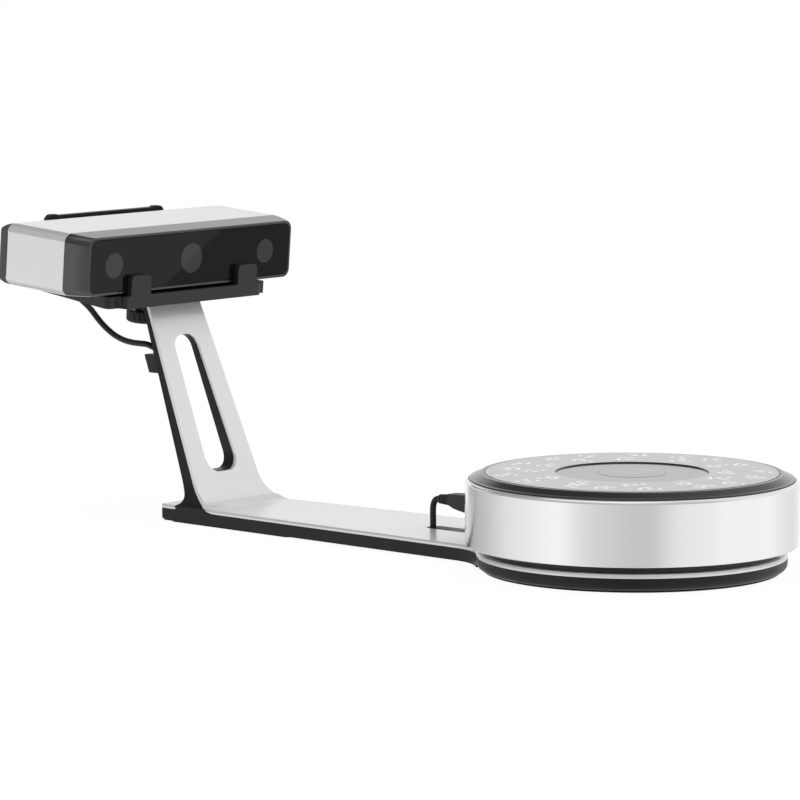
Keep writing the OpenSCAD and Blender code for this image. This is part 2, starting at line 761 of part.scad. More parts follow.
module cradle() {
    lug_in = lug_offset - lug_w / 2;
    lug_out = lug_offset + lug_w / 2;
    front_half = [[lip_half, tray_low], [lip_half, lip_top], [lug_out, lip_top], [lug_out, lug_top],
        [lug_in, lug_top], [lug_in, lip_top]];
    front_radii = [0, lip_r, lug_foot_r, lug_r, lug_r, lug_inner_r];
    plate_top = tray_low + rear_plate_h;
    rear_half = [[rear_plate_half, tray_low], [rear_plate_half, plate_top + bump_h],
        [rear_plate_half - bump_l, plate_top + bump_h], [rear_plate_half - bump_l - bump_h, plate_top]];
    rear_radii = [0, bump_r, bump_foot_r, bump_foot_r];
    color("#1c1c1e") in_head() difference() {
        union() {
            translate([0, 0, tray_low]) linear_extrude(tray_top - tray_low) tray_outline(0);
            intersection() {
                lengthwise(lip_gap, lip_front) polygon(rounded(mirrored_halves(front_half),
                    concat(front_radii, [for (i = [5 : -1 : 0]) front_radii[i]])));
                translate([0, 0, tray_low]) linear_extrude(rear_plate_h) tray_outline(0);
            }
            lengthwise(-rear_u, -rear_u + rear_plate_t) difference() {
                polygon(rounded(mirrored_halves(rear_half), concat(rear_radii, [for (i = [3 : -1 : 0]) rear_radii[i]])));
                polygon(rounded([[-window_half, window_low], [window_half, window_low],
                    [window_half, window_high], [-window_half, window_high]], same(window_r, 4)));
            }
        }
        difference() {
            translate([0, 0, tray_low - eps]) linear_extrude(tray_top - tray_plate - tray_low) tray_outline(skirt_t);
            translate([screw_u, 0, tray_low - over]) cylinder(h = tray_h, r = tray_boss_d / 2);
            translate([seat_pad_rear_u, -seat_pad_half, tray_low - over])
                cube([seat_pad_front_u - seat_pad_rear_u, 2 * seat_pad_half, tray_h]);
            for (side = [-1, 1])
                translate([-rear_u, side * (lug_offset - lug_w) - tray_rib_t / 2, tray_low - over])
                    cube([rear_u + lip_front, tray_rib_t, tray_h]);
            translate([screw_u - tray_rib_t / 2, -tray_front, tray_low - over]) cube([tray_rib_t, 2 * tray_front, tray_h]);
        }
        translate([screw_u, 0, tray_low - over]) cylinder(h = 2 * tray_h, r = thumb_hole / 2);
        for (side = [-1, 1]) translate([cradle_screw_u, side * cradle_screw_y, 0]) {
            disc(cradle_screw_d / 2 + fit_gap, tray_low - over, tray_top + over);
            disc(cradle_screw_head / 2 + fit_gap, tray_top - cradle_screw_head_h - fit_gap, tray_top + over);
        }
    }
}

module cradle_pads() {
    color("#0f0f10") in_head() for (side = [-1, 1])
        translate([-rear_u / 2, side * lug_offset, tray_top]) rounded_slab([rear_u - bump_l, lug_w, pad_t], cradle_pad_r);
}

module cradle_screws() {
    color("#8f9196") at_cradle_screws() {
        disc(cradle_screw_head / 2, tray_top - cradle_screw_head_h, tray_top - fit_gap);
        disc(cradle_screw_d / 2 - shaft_gap, tray_top - cradle_screw_head_h - cradle_screw_l, tray_top - fit_gap);
    }
}

// The head's housing
head_corner = 6;
head_rear_r = 13;
head_front_drop = 1.4;
head_front_draft = 5;
front_edge_r = 0.8;
front_corner_r = 2;
function head_side(i) = [[-head_depth + i, -head_rise + i], [-bezel_depth, -head_rise + i],
    [-i, -head_rise + head_front_drop + i], [-i, head_rise - head_front_drop - i],
    [-bezel_depth, head_rise - i], [-head_depth + i, head_rise - i]];
function head_plan(i) = [[-head_depth + i, -head_half + i], [-bezel_depth, -head_half + i],
    [-i, -head_half + head_front_draft + i], [-i, head_half - head_front_draft - i],
    [-bezel_depth, head_half - i], [-head_depth + i, head_half - i]];

// The head's outer form, set in by an amount, between two depths
module head_form(inset, from, to) {
    rear = head_rear_r - inset;
    edge = head_corner - inset;
    y = head_half - inset;
    z = head_rise - inset;
    intersection() {
        lengthwise(from, to) polygon(rounded([[-y, -z], [y, -z], [y, z], [-y, z]], same(edge, 4)));
        across(head_half) polygon(rounded(head_side(inset), [rear, 0, front_edge_r, front_edge_r, 0, rear]));
        translate([0, 0, -head_rise]) linear_extrude(2 * head_rise)
            polygon(rounded(head_plan(inset), [edge, 0, front_corner_r, front_corner_r, 0, edge]));
    }
}

seam = 0.3;
spigot_l = 3;
spigot_t = 1.6;
cover_u = -head_depth + cover_depth;
insert_d = 10;
insert_l = 7;
insert_boss_d = 16;

module head_sleeve() {
    color("#d6d6db") in_head() difference() {
        union() {
            difference() {
                head_form(0, cover_u + seam / 2, -bezel_depth - seam / 2);
                head_form(head_wall, -head_depth, 0);
            }
            disc_at(screw_u, insert_boss_d / 2, -head_rise + head_wall / 2, -head_rise + insert_l + over);
        }
        disc_at(screw_u, insert_d / 2, -head_rise - over, -head_rise + insert_l);
        disc_at(screw_u, thumb_d / 2 + run_gap, -head_rise, -head_rise + insert_l + 2 * over);
    }
}

module disc_at(u, radius, low, high, y = 0) {
    translate([u, y, 0]) disc(radius, low, high);
}

module tripod_insert() {
    color("#b08d45") in_head() translate([screw_u, 0, 0])
        ring(thumb_d / 2 + shaft_gap, insert_d / 2 - shaft_gap, -head_rise, -head_rise + insert_l);
}

// The front bezel: a frame with a shelf for the glass and a spigot that enters the sleeve
glass_t = 1.2;
glass_set = 0.2;
glass_side = 7;
glass_edge = 2.8;
glass_half = [head_half - glass_side, head_rise - glass_edge];
glass_r = 4.8;
shelf_r = 2;
shelf_w = 4;
mask_t = 0.6;

module front_bezel() {
    color("#1a1a1c") in_head() difference() {
        union() {
            head_form(0, -bezel_depth + seam / 2, 0);
            head_form(head_wall + fit_gap, -bezel_depth - spigot_l, -bezel_depth + over);
        }
        difference() {
            head_form(head_wall + spigot_t, -head_depth, 0);
            translate([-glass_t - glass_set - shelf_w / 2, -head_half, -head_rise])
                cube([shelf_w, 2 * head_half, 2 * head_rise]);
        }
        front_slab(glass_half + [fit_gap, fit_gap], glass_r + fit_gap, -glass_t - glass_set, over);
        front_slab(glass_half - [shelf_w, shelf_w], shelf_r, -bezel_depth, over);
    }
}

// A rounded slab that faces forward, between two depths
module front_slab(half, r, from, to) {
    translate([from, 0, 0]) rotate([90, 0, 90]) rounded_slab([2 * half.x, 2 * half.y, to - from], r);
}

module front_glass() {
    color("#2a2a2e") in_head() front_slab(glass_half, glass_r, -glass_t - glass_set, -glass_set);
}

module facing_cylinder(u, y, radius, length) {
    translate([u, y, 0]) rotate([0, 90, 0]) cylinder(h = length, r = radius);
}

mask_front = -glass_t - glass_set;
module window_mask() {
    half = glass_half - [shelf_w + fit_gap, shelf_w + fit_gap];
    color("#232326") in_head() difference() {
        front_slab(half, shelf_r, mask_front - mask_t, mask_front);
        for (side = [-1, 1]) facing_cylinder(mask_front - over, side * camera_offset, camera_window / 2, 2 * over);
        facing_cylinder(mask_front - over, 0, projector_window / 2, 2 * over);
    }
}

// Optics: a bench across the sleeve with pillars, two cameras and a projector
bench_u = -28;
bench_t = 3;
pillar_r = 3.5;
pillar_inset = 8.4;
pillar_y = head_half - pillar_inset;
camera_offset = head_half - camera_inset;
pillar_v = 7;
board_inset = 15.6;
board_u = -head_depth + board_inset;
board_t = 1.6;
camera_size = [20, 24, 24];
camera_barrel_r = 7.6;
camera_lens_r = 5.8;
projector_size = [30, 38, 26];
projector_barrel_r = 9.4;
projector_lens_r = 7.4;
barrel_front = -2.8;
lens_set = 3.5;
lens_t = 3;

module pillars(radius, from, to) {
    for (y = [-pillar_y, pillar_y], v = [-pillar_v, pillar_v])
        translate([from, y, v]) rotate([0, 90, 0]) cylinder(h = to - from, r = radius);
}

module optical_bench() {
    half = [head_half - head_wall - run_gap, head_rise - head_wall - run_gap];
    color("#9a9ca1") in_head() difference() {
        union() {
            front_slab(half, head_corner - head_wall, bench_u - bench_t, bench_u);
            pillars(pillar_r, board_u, bench_u - bench_t / 2);
        }
        for (side = [-1, 1])
            facing_cylinder(bench_u - bench_t - over, side * camera_offset, camera_barrel_r + fit_gap,
                bench_t + 2 * over);
        facing_cylinder(bench_u - bench_t - over, 0, projector_barrel_r + fit_gap, bench_t + 2 * over);
        pillars(rear_screw_d / 2, board_u - over, board_u + rear_screw_l);
    }
}

// A block behind the bench with a barrel in front, its bore open for the lens
module optic(size, barrel, lens, lift) {
    front = bench_u - bench_t;
    difference() {
        union() {
            translate([front - size.x, -size.y / 2, lift - size.z / 2]) cube(size);
            facing_cylinder(front - over, 0, barrel, barrel_front - front + over);
        }
        facing_cylinder(barrel_front - lens_set - 2 * lens_t, 0, lens, lens_set + 2 * lens_t + over);
    }
}

module lens_solid(r) {
    cap_r0 = (r * r + lens_t * lens_t / 4) / lens_t;
    rotate([0, 90, 0]) intersection() {
        cylinder(h = lens_t, r = r);
        translate([0, 0, lens_t / 2 - (cap_r0 - lens_t / 2)]) sphere(r = cap_r0);
    }
}

module camera_at(side) {
    in_head() translate([0, side * camera_offset, 0]) children();
}

projector_lift = 2.5;
module camera_left() { color("#303035") camera_at(-1) optic(camera_size, camera_barrel_r, camera_lens_r, 0); }
module camera_right() { color("#303035") camera_at(1) optic(camera_size, camera_barrel_r, camera_lens_r, 0); }
module projector() { color("#303035") in_head() optic(projector_size, projector_barrel_r, projector_lens_r, projector_lift); }

module camera_lens(side) {
    camera_at(side) translate([barrel_front - lens_set - 2 * lens_t, 0, 0]) lens_solid(camera_lens_r - fit_gap);
}
module camera_lens_left() { color("#4a5560") camera_lens(-1); }
module camera_lens_right() { color("#4a5560") camera_lens(1); }
module projector_lens() {
    color("#4a5560") in_head() translate([barrel_front - lens_set - 2 * lens_t, 0, 0])
        lens_solid(projector_lens_r - fit_gap);
}

board_side = 4.8;
board_edge = 9.2;
board_r = 1.5;
board_half = [head_half - board_side, head_rise - board_edge];
module main_board() {
    color("#1f5a3a") in_head() difference() {
        front_slab(board_half, board_r, board_u - board_t, board_u);
        pillars(rear_screw_d / 2 + fit_gap / 2, board_u - board_t - over, board_u + over);
    }
}

sink_from_y = 24;
sink_to_y = 58;
sink_margin = 1;
sink_base = 2.4;
sink_depth = 14;
sink_fins = 7;
sink_fin_t = 1.4;
module heat_sink() {
    half = board_half.y - sink_margin;
    step = (sink_to_y - sink_from_y - sink_fin_t) / (sink_fins - 1);
    color("#6d7076") in_head() {
        translate([board_u, sink_from_y, -half]) cube([sink_base, sink_to_y - sink_from_y, 2 * half]);
        for (i = [0 : sink_fins - 1])
            translate([board_u, sink_from_y + i * step, -half]) cube([sink_depth, sink_fin_t, 2 * half]);
    }
}

// The rear cover with its posts, sockets and rocker well
rear_screw_d = 2.5;
rear_screw_head = 5;
rear_screw_l = 8;
rear_screw_set = 1.4;
usb_y = -20;
usb_size = [12, 10.8];
power_y = 19;
power_size = [9, 10.8];
power_bore = 5.5;
link_size = [14, 8.6];
link_bore = [12.4, 7];
socket_end = 0.3;
socket_depth = 8;
usb_wall = 1.2;
usb_tongue_w = 5.6;
usb_tongue_h = 3.2;
usb_tongue_set = 1.5;
power_pin_d = 2.1;
power_pin_set = 1;
rocker_y = 36;
rocker_inset = 5;
rocker_u = -head_depth + rocker_inset;
rocker_r = 6.6;
rocker_half_v = 4.5;
rocker_pin_r = 1;
rocker_tilt = 8;
well_wall = 1.6;

module socket_holes() {
    front_hole(usb_y, usb_size);
    front_hole(power_y, power_size);
    front_hole(link_socket_y, link_size);
}

module front_hole(y, size) {
    translate([-head_depth - over, y - size.x / 2 - fit_gap, -size.y / 2 - fit_gap])
        cube([cover_depth, size.x + 2 * fit_gap, size.y + 2 * fit_gap]);
}

module rear_cover() {
    well_half = rocker_r + run_gap + well_wall;
    color("#3a3a3d") in_head() difference() {
        union() {
            difference() {
                union() {
                    head_form(0, -head_depth, cover_u - seam / 2);
                    head_form(head_wall + fit_gap, -head_depth + over, cover_u + spigot_l);
                }
                head_form(head_wall + spigot_t, -head_depth - spigot_t, 0);
            }
            intersection() {
                head_form(0, -head_depth, cover_u);
                translate([-head_depth, -head_half, -head_rise]) cube([head_wall, 2 * head_half, 2 * head_rise]);
            }
            pillars(pillar_r, -head_depth + over, board_u - board_t);
            translate([-head_depth, rocker_y - well_half, -rocker_half_v - run_gap - well_wall])
                cube([cover_depth, 2 * well_half, 2 * (rocker_half_v + run_gap + well_wall)]);
        }
        socket_holes();
        pillars(rear_screw_d / 2 + fit_gap / 2, -head_depth - over, 0);
        pillars(rear_screw_head / 2 + fit_gap, -head_depth - over, -head_depth + rear_screw_set);
        translate([0, rocker_y, -rocker_half_v - run_gap]) {
            translate([-head_depth - over, -rocker_r - run_gap, 0])
                cube([rocker_u + head_depth + over, 2 * (rocker_r + run_gap), 2 * (rocker_half_v + run_gap)]);
            translate([rocker_u, 0, 0]) cylinder(h = 2 * (rocker_half_v + run_gap), r = rocker_r + run_gap);
        }
        translate([rocker_u, rocker_y, -rocker_half_v - run_gap - well_wall - over])
            cylinder(h = 2 * (rocker_half_v + run_gap + well_wall + over), r = rocker_pin_r + shaft_gap);
    }
}

module rear_screws() {
    color("#26262a") in_head() {
        pillars(rear_screw_head / 2, -head_depth + fit_gap, -head_depth + rear_screw_set);
        pillars(rear_screw_d / 2 - shaft_gap, -head_depth + fit_gap, board_u + rear_screw_l - over);
    }
}

module socket(y, size) {
    translate([-head_depth + socket_end, y - size.x / 2, -size.y / 2])
        cube([board_u - board_t + head_depth - socket_end, size.x, size.y]);
}

module usb_socket() {
    color("#b5b7bb") in_head() difference() {
        socket(usb_y, usb_size);
        difference() {
            translate([-head_depth - over, usb_y - usb_size.x / 2 + usb_wall, -usb_size.y / 2 + usb_wall])
                cube([socket_depth + over, usb_size.x - 2 * usb_wall, usb_size.y - 2 * usb_wall]);
            translate([-head_depth + usb_tongue_set, usb_y - usb_tongue_w / 2, -usb_tongue_h / 2])
                cube([socket_depth, usb_tongue_w, usb_tongue_h]);
        }
    }
}

module power_socket() {
    color("#1d1d20") in_head() difference() {
        socket(power_y, power_size);
        difference() {
            facing_cylinder(-head_depth - over, power_y, power_bore / 2, socket_depth + over);
            facing_cylinder(-head_depth + power_pin_set, power_y, power_pin_d / 2, socket_depth);
        }
    }
}

module link_socket() {
    color("#1d1d20") in_head() difference() {
        socket(link_socket_y, link_size);
        translate([-head_depth - over, link_socket_y - link_bore.x / 2, -link_bore.y / 2])
            cube([cover_depth / 2 + over, link_bore.x, link_bore.y]);
    }
}

rocker_end_share = 1.2;
rocker_middle_share = 0.95;
module power_rocker() {
    depth = head_depth + rocker_u;
    color("#17171a") in_head() translate([rocker_u, rocker_y, -rocker_half_v]) rotate([0, 0, rocker_tilt]) {
        intersection() {
            cylinder(h = 2 * rocker_half_v, r = rocker_r);
            linear_extrude(2 * rocker_half_v) polygon([[depth / 2, -rocker_r], [depth / 2, rocker_r],
                [-depth * rocker_end_share, rocker_r], [-depth * rocker_middle_share, 0],
                [-depth * rocker_end_share, -rocker_r]]);
        }
        translate([0, 0, -well_wall + run_gap])
            cylinder(h = 2 * (rocker_half_v + well_wall - run_gap), r = rocker_pin_r);
    }
}

// The thumbscrew that holds the head, with its captive washer
washer_t = 1;
hub_d = 14;
grip_h = 8.6;
grip_low = -50;
flutes = 18;
flute_r = 1.1;
thumb_end = 1;
grip_low_r = 2.6;
grip_high_r = 1.2;
washer_margin = 1;

module thumbscrew() {
    hub_top = tray_low - washer_t - fit_gap;
    color("#1a1a1c") in_head() translate([screw_u, 0, 0]) {
        disc(thumb_d / 2, grip_low + grip_h, -head_rise + insert_l - thumb_end);
        disc(hub_d / 2, grip_low + grip_h - over, hub_top);
        difference() {
            translate([0, 0, grip_low]) rotate_extrude() polygon(rounded([[0, 0], [knob_d / 2, 0],
                [knob_d / 2, grip_h], [0, grip_h]], [0, grip_low_r, grip_high_r, 0]));
            around(flutes, knob_d / 2 + flute_r / 2) disc(flute_r, grip_low - over, grip_low + grip_h + over);
        }
    }
}

module thumbscrew_washer() {
    color("#8f9196") in_head() translate([screw_u, 0, 0])
        ring(thumb_d / 2 + fit_gap, hub_d / 2 + washer_margin, tray_low - washer_t, tray_low);
}

// The drum: a silver housing on a black chassis
chassis_inset = 12;
chassis_r = drum_r - chassis_inset;
chassis_step_t = 3;
flange_low = drum_low + drum_wall;
flange_t = 2.5;
flange_high = flange_low + flange_t;
drum_top_r = 2.4;
drum_low_bevel = 0.6;
drum_lip = 0.4;
housing_screw_count = 6;
housing_screw_inset = 7;
housing_screw_r = drum_r - housing_screw_inset;
housing_screw_angle = 30;
housing_screw_d = 3;
housing_screw_head = 6;
bearing_wall_t = 12;
boss_r = 13;
bush_r = 9;
socket_half = 9;
socket_rise = 5.5;
socket_low = plug_z - socket_rise;
socket_high = plug_z + socket_rise;
floor_high = base_top + chassis_floor;
race_t = 2.4;
web_t = 3.4;
web_high = platter_high - marker_t;
web_low = web_high - web_t;
rib_h = 1;
upper_high = web_low - rib_h;
upper_low = upper_high - race_t;
ball_z = upper_low - run_gap - ball_d / 2;
lower_high = ball_z - ball_d / 2 - run_gap;
lower_low = lower_high - race_t;
race_half = 5;
race_groove = 0.6;

// Heights inside the drum, from the platter's web down
gear_drop = 5.5;
gear_high = web_low - gear_drop;
gear_low = gear_high - gear_face;
hub_drop = 2;
hub_low = gear_low - hub_drop;
boss_drop = 2;
boss_high = hub_low - boss_drop;
bracket_drop = 4;
bracket_high = gear_low - bracket_drop;
spindle_clear = 5.4;
spindle_low = floor_high + spindle_clear;
bush_drop = 2;
bush_low = spindle_low + bush_drop;

module drum_housing() {
    inner = drum_r - drum_wall;
    arc = [for (k = [0 : arc_steps]) let (a = 90 * k / arc_steps)
        [drum_r - drum_top_r * (1 - cos(a)), drum_high - drum_top_r * (1 - sin(a))]];
    profile = concat([[chassis_r + fit_gap, drum_low], [drum_r - drum_low_bevel, drum_low],
        [drum_r, drum_low + drum_low_bevel]], arc,
        [[inner, drum_high - drum_lip], [inner, flange_low], [chassis_r + fit_gap, flange_low]]);
    color("#d8d8dc") difference() {
        rotate_extrude() polygon(profile);
        translate([-drum_r - over, -socket_half - fit_gap, socket_low - fit_gap])
            cube([2 * drum_wall, 2 * (socket_half + fit_gap), socket_high - socket_low + 2 * fit_gap]);
        around(housing_screw_count, housing_screw_r, housing_screw_angle)
            disc(housing_screw_d / 2, drum_low - over, flange_high);
    }
}

// The gears fill the room between the spindle and the bearing's wall
motor_room = 7.5;
driven_teeth = 2 * round((race_r - bearing_wall_t / 2 - motor_room - motor_d / 2) / gear_module) - pinion_teeth;
gear_centre = gear_module * (driven_teeth + pinion_teeth) / 2;
motor_post_r = 3.4;
motor_post_gap = 5;
motor_post_offset = motor_d / 2 + motor_post_gap;
bracket_t = 2;
bracket_margin = 1;
bracket_r = 3;
motor_lift = 3.4;
motor_can_low = floor_high + motor_lift;
board_post_r = 2.6;
board_post_inset = 3;
board_l = 34;
board_w = 30;
board_wall_gap = 9;
board_centre_x = -(race_r - bearing_wall_t / 2 - board_wall_gap - board_l / 2);
board_lift = 0.9;
board_low = drum_low + chassis_floor + board_lift;

module at_motor() {
    rotate([0, 0, motor_angle]) translate([gear_centre, 0, 0]) children();
}

module at_motor_posts() {
    at_motor() for (side = [-1, 1]) translate([0, side * motor_post_offset, 0]) children();
}

module at_board_posts() {
    for (x = [-1, 1], y = [-1, 1])
        translate([board_centre_x + x * (board_l / 2 - board_post_inset), y * (board_w / 2 - board_post_inset), 0])
            children();
}

module drum_chassis() {
    color("#232326") difference() {
        union() {
            disc(chassis_r, base_top, floor_high);
            ring(chassis_r - chassis_step_t, chassis_r, base_top, flange_high);
            ring(chassis_r - chassis_step_t, drum_r - drum_wall - fit_gap, flange_low, flange_high);
            ring(race_r - bearing_wall_t / 2, race_r + bearing_wall_t / 2, base_top + over, lower_low);
            disc(boss_r, base_top + over, boss_high);
            around(base_screw_count, base_screw_r)
                disc(chassis_boss_d / 2, base_top + over, drum_low + chassis_floor);
            at_motor_posts() disc(motor_post_r, base_top + over, bracket_high - bracket_t);
            at_board_posts() disc(board_post_r, base_top + over, board_low);
        }
        disc(spindle_d / 2 + over, floor_high, boss_high + over);
        disc(bush_r, bush_low, boss_high + over);
        around(base_screw_count, base_screw_r)
            disc(base_screw_d / 2 + shaft_gap, base_top - over, base_screw_top + over);
        around(housing_screw_count, housing_screw_r, housing_screw_angle)
            disc(housing_screw_d / 2 + fit_gap, flange_low - over, flange_high + over);
        translate([-drum_r, -socket_half - fit_gap, socket_low - fit_gap])
            cube([race_inset + bearing_wall_t, 2 * (socket_half + fit_gap), socket_high - socket_low + 2 * fit_gap]);
    }
}

module housing_screws() {
    color("#8f9196") around(housing_screw_count, housing_screw_r, housing_screw_angle) {
        disc(housing_screw_head / 2, flange_high, flange_high + housing_screw_d / 2);
        disc(housing_screw_d / 2 - shaft_gap, drum_low + fit_gap, flange_high + housing_screw_d / 2);
    }
}

module race(low, high, groove_z) {
    difference() {
        ring(race_r - race_half, race_r + race_half, low, high);
        rotate_extrude() translate([race_r, groove_z]) circle(r = ball_d / 2 + run_gap);
    }
}

module lower_race() {
    color("#b9bbc0") race(lower_low, lower_high + race_groove, ball_z);
}

module upper_race() {
    color("#b9bbc0") race(upper_low - race_groove, upper_high, ball_z);
}

cage_t = 1.8;
cage_half = 4.4;
module ball_cage() {
    color("#c9b37a") difference() {
        ring(race_r - cage_half, race_r + cage_half, ball_z - cage_t / 2, ball_z + cage_t / 2);
        around(ball_count, race_r) disc(ball_d / 2 + fit_gap, ball_z - cage_t, ball_z + cage_t);
    }
}

module bearing_balls() {
    color("#cfd1d6") around(ball_count, race_r) translate([0, 0, ball_z]) sphere(r = ball_d / 2);
}

// The motor hangs under its bracket. Its shaft and pinion turn
motor_shaft_d = 4;
motor_boss_r = 3.5;
motor_end_margin = 2;
motor_end_t = 1.5;
shaft_end = 2.5;

module motor() {
    color("#aeb0b5") at_motor() difference() {
        union() {
            disc(motor_d / 2, motor_can_low, bracket_high - bracket_t);
            disc(motor_boss_r, motor_can_low, bracket_high + over);
            disc(motor_d / 2 - motor_end_margin, motor_can_low - motor_end_t, motor_can_low + over);
        }
        disc(motor_shaft_d / 2 + shaft_gap, motor_can_low + shaft_end - fit_gap, bracket_high + 2 * over);
    }
}

module motor_bracket() {
    color("#8a8d92") at_motor() difference() {
        union() {
            disc(motor_d / 2 + bracket_margin, bracket_high - bracket_t, bracket_high);
            translate([0, 0, bracket_high - bracket_t])
                rounded_slab([2 * (motor_post_r + bracket_margin),
                    2 * (motor_post_offset + motor_post_r + bracket_margin), bracket_t], bracket_r);
        }
        disc(motor_boss_r + fit_gap, bracket_high - bracket_t - over, bracket_high + over);
        for (side = [-1, 1]) translate([0, side * motor_post_offset, 0])
            disc(housing_screw_d / 2 + fit_gap, bracket_high - bracket_t - over, bracket_high + over);
    }
}

module bracket_screws() {
    color("#8f9196") at_motor_posts()
        disc(housing_screw_head / 2, bracket_high, bracket_high + housing_screw_d / 2);
}

module motor_shaft() {
    color("#c4c6ca") at_motor() disc(motor_shaft_d / 2, motor_can_low + shaft_end, gear_high + over);
}

// Spur teeth: the flanks are involutes of the base circle, thinned by half the play
pressure_angle = 20;
flank_steps = 3;
addendum_share = 0.9;
dedendum_share = 1.2;
root_turn = 10;
function roll(r, base) = sqrt(pow(r / base, 2) - 1) * 180 / PI;
function involute(r, base) = roll(r, base) - acos(clamp(base / r));
function tooth_half(r, teeth) =
    let (pitch = gear_module * teeth / 2, base = pitch * cos(pressure_angle), f = max(r, base))
    90 / teeth - backlash / 4 / pitch * 180 / PI + involute(pitch, base) - involute(f, base);
function gear_points(teeth) =
    let (
        pitch = gear_module * teeth / 2,
        tip = pitch + gear_module * addendum_share,
        root = pitch - gear_module * dedendum_share,
        base = pitch * cos(pressure_angle),
        low = max(root, base),
        radii = [for (k = [0 : flank_steps]) low + (tip - low) * k / flank_steps]
    )
    [for (i = [0 : teeth - 1]) let (middle = 360 * i / teeth)
        each concat(
            [root * along(middle - tooth_half(low, teeth) - root_turn / teeth)],
            [for (r = radii) r * along(middle - tooth_half(r, teeth))],
            [for (k = [flank_steps : -1 : 0]) radii[k] * along(middle + tooth_half(radii[k], teeth))],
            [root * along(middle + tooth_half(low, teeth) + root_turn / teeth)])];

gear_rim = 6;
gear_web = 3;
gear_hub_r = 17;
gear_lap = 1;
spoke_hole_share = 0.25;
platter_hub_r = 14;
hub_flange = 4;
gear_spokes = 6;

module driven_gear() {
    root = gear_module * (driven_teeth / 2 - dedendum_share);
    color("#e3dfd2") difference() {
        union() {
            difference() {
                translate([0, 0, gear_low]) rotate([0, 0, motor_angle]) linear_extrude(gear_face)
                    polygon(gear_points(driven_teeth));
                disc(root - gear_rim, gear_low - over, gear_high + over);
            }
            disc(root - gear_rim + gear_lap, gear_high - gear_web, gear_high);
            disc(gear_hub_r, gear_low, gear_high);
        }
        disc(platter_hub_r + shaft_gap, gear_low - over, gear_high + over);
        around(gear_spokes, (root - gear_rim + gear_hub_r) / 2)
            disc((root - gear_rim - gear_hub_r) * spoke_hole_share, gear_low, gear_high + over);
    }
}

pinion_margin = 0.5;
module pinion() {
    phase = pinion_teeth % 2 == 0 ? 180 / pinion_teeth : 0;
    color("#c9a24a") at_motor() difference() {
        translate([0, 0, gear_low - pinion_margin]) rotate([0, 0, phase]) linear_extrude(gear_face + 2 * pinion_margin)
            polygon(gear_points(pinion_teeth));
        disc(motor_shaft_d / 2, gear_low - over, gear_high + over);
    }
}

module spindle_bush() {
    color("#b98a4a") ring(spindle_d / 2 + shaft_gap, bush_r - shaft_gap, bush_low, boss_high);
}

module turntable_board() {
    color("#1f5a3a") translate([board_centre_x, 0, board_low])
        rounded_slab([board_l, board_w, board_t], board_r);
}

module turntable_socket() {
    rear = -drum_r + drum_wall / 2;
    color("#1d1d20") difference() {
        translate([rear, -socket_half, socket_low])
            cube([race_inset, 2 * socket_half, socket_high - socket_low]);
        translate([rear - over, -link_bore.x / 2, plug_z - link_bore.y / 2])
            cube([socket_depth + over, link_bore.x, link_bore.y]);
    }
}

// The platter: a black rim with fine steps round the marker ring, on a web with a hub
rim_r = drum_r - drum_wall - rim_gap;
rim_skirt = 3.9;
rim_low = drum_high - rim_skirt;
rim_steps = 3;
marker_gap = 0.5;
rim_top_r = marker_r + marker_gap;
rim_wall = 3;
rim_drop = 0.2;
rim_edge_rise = 0.6;
rim_edge_bevel = 0.8;
rim_land = 2.4;
groove_from = 4;
groove_step = 1.6;
groove_w = 0.3;
groove_d = 0.35;
cap_rise = 0.1;

module platter() {
    rim_high = platter_high - rim_drop;
    edge_high = drum_high + rim_edge_rise;
    slope = (rim_high - edge_high) / (rim_r - rim_edge_bevel - rim_top_r - rim_land);
    steps = [for (i = [0 : rim_steps - 1])
        let (x = rim_top_r + groove_from + groove_step * i, z = rim_high - slope * (x - rim_top_r - rim_land))
        each [[x, z], [x + groove_w, z - groove_d], [x + 2 * groove_w, z - 2 * slope * groove_w]]];
    profile = concat([[0, web_low], [0, web_high], [rim_top_r, web_high], [rim_top_r, rim_high],
        [rim_top_r + rim_land, rim_high]], steps, [[rim_r - rim_edge_bevel, edge_high],
        [rim_r, edge_high - rim_edge_bevel], [rim_r, rim_low], [rim_r - rim_wall, rim_low],
        [rim_r - rim_wall, web_low]]);
    color("#19191b") difference() {
        union() {
            rotate_extrude() polygon(profile);
            ring(race_r - race_half, race_r + race_half, upper_high, web_low + over);
            disc(platter_hub_r, hub_low, web_low + over);
            disc(platter_hub_r + hub_flange, gear_high, web_low + over);
        }
        disc(spindle_d / 2, hub_low - over, web_low + web_t / 2);
    }
}

module marker_ring() {
    color("#3b3b3f") ring(pad_r + fit_gap, marker_r, web_high, platter_high);
}

module centre_pad() {
    color("#2c2c2f") ring(cap_r + fit_gap, pad_r, web_high, platter_high - pad_drop);
}

module centre_cap() {
    color("#2c2c2f") disc(cap_r, web_high, platter_high - pad_drop + cap_rise);
}

module spindle() {
    color("#c4c6ca") disc(spindle_d / 2, spindle_low, web_low + web_t / 2);
}

stand_frame();
column_plate();
base_plate();
tail_plate();
bottom_cover();
rear_foot_pad();
disc_foot_pad();
base_screws();
cable_clip();
link_cable();
head_plug();
drum_plug();
strain_relief();
cradle();
cradle_pads();
cradle_screws();
head_sleeve();
front_bezel();
front_glass();
window_mask();
optical_bench();
camera_left();
camera_right();
projector();
camera_lens_left();
camera_lens_right();
projector_lens();
main_board();
heat_sink();
rear_cover();
rear_screws();
usb_socket();
power_socket();
link_socket();
power_rocker();
tripod_insert();
thumbscrew();
thumbscrew_washer();
drum_housing();
drum_chassis();
housing_screws();
lower_race();
ball_cage();
bearing_balls();
motor();
motor_bracket();
bracket_screws();
motor_shaft();
pinion();
spindle_bush();
turntable_board();
turntable_socket();
platter();
marker_ring();
centre_pad();
centre_cap();
spindle();
driven_gear();
upper_race();
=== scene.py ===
import math
import random
import bpy
import bmesh
from mathutils import Matrix, Vector


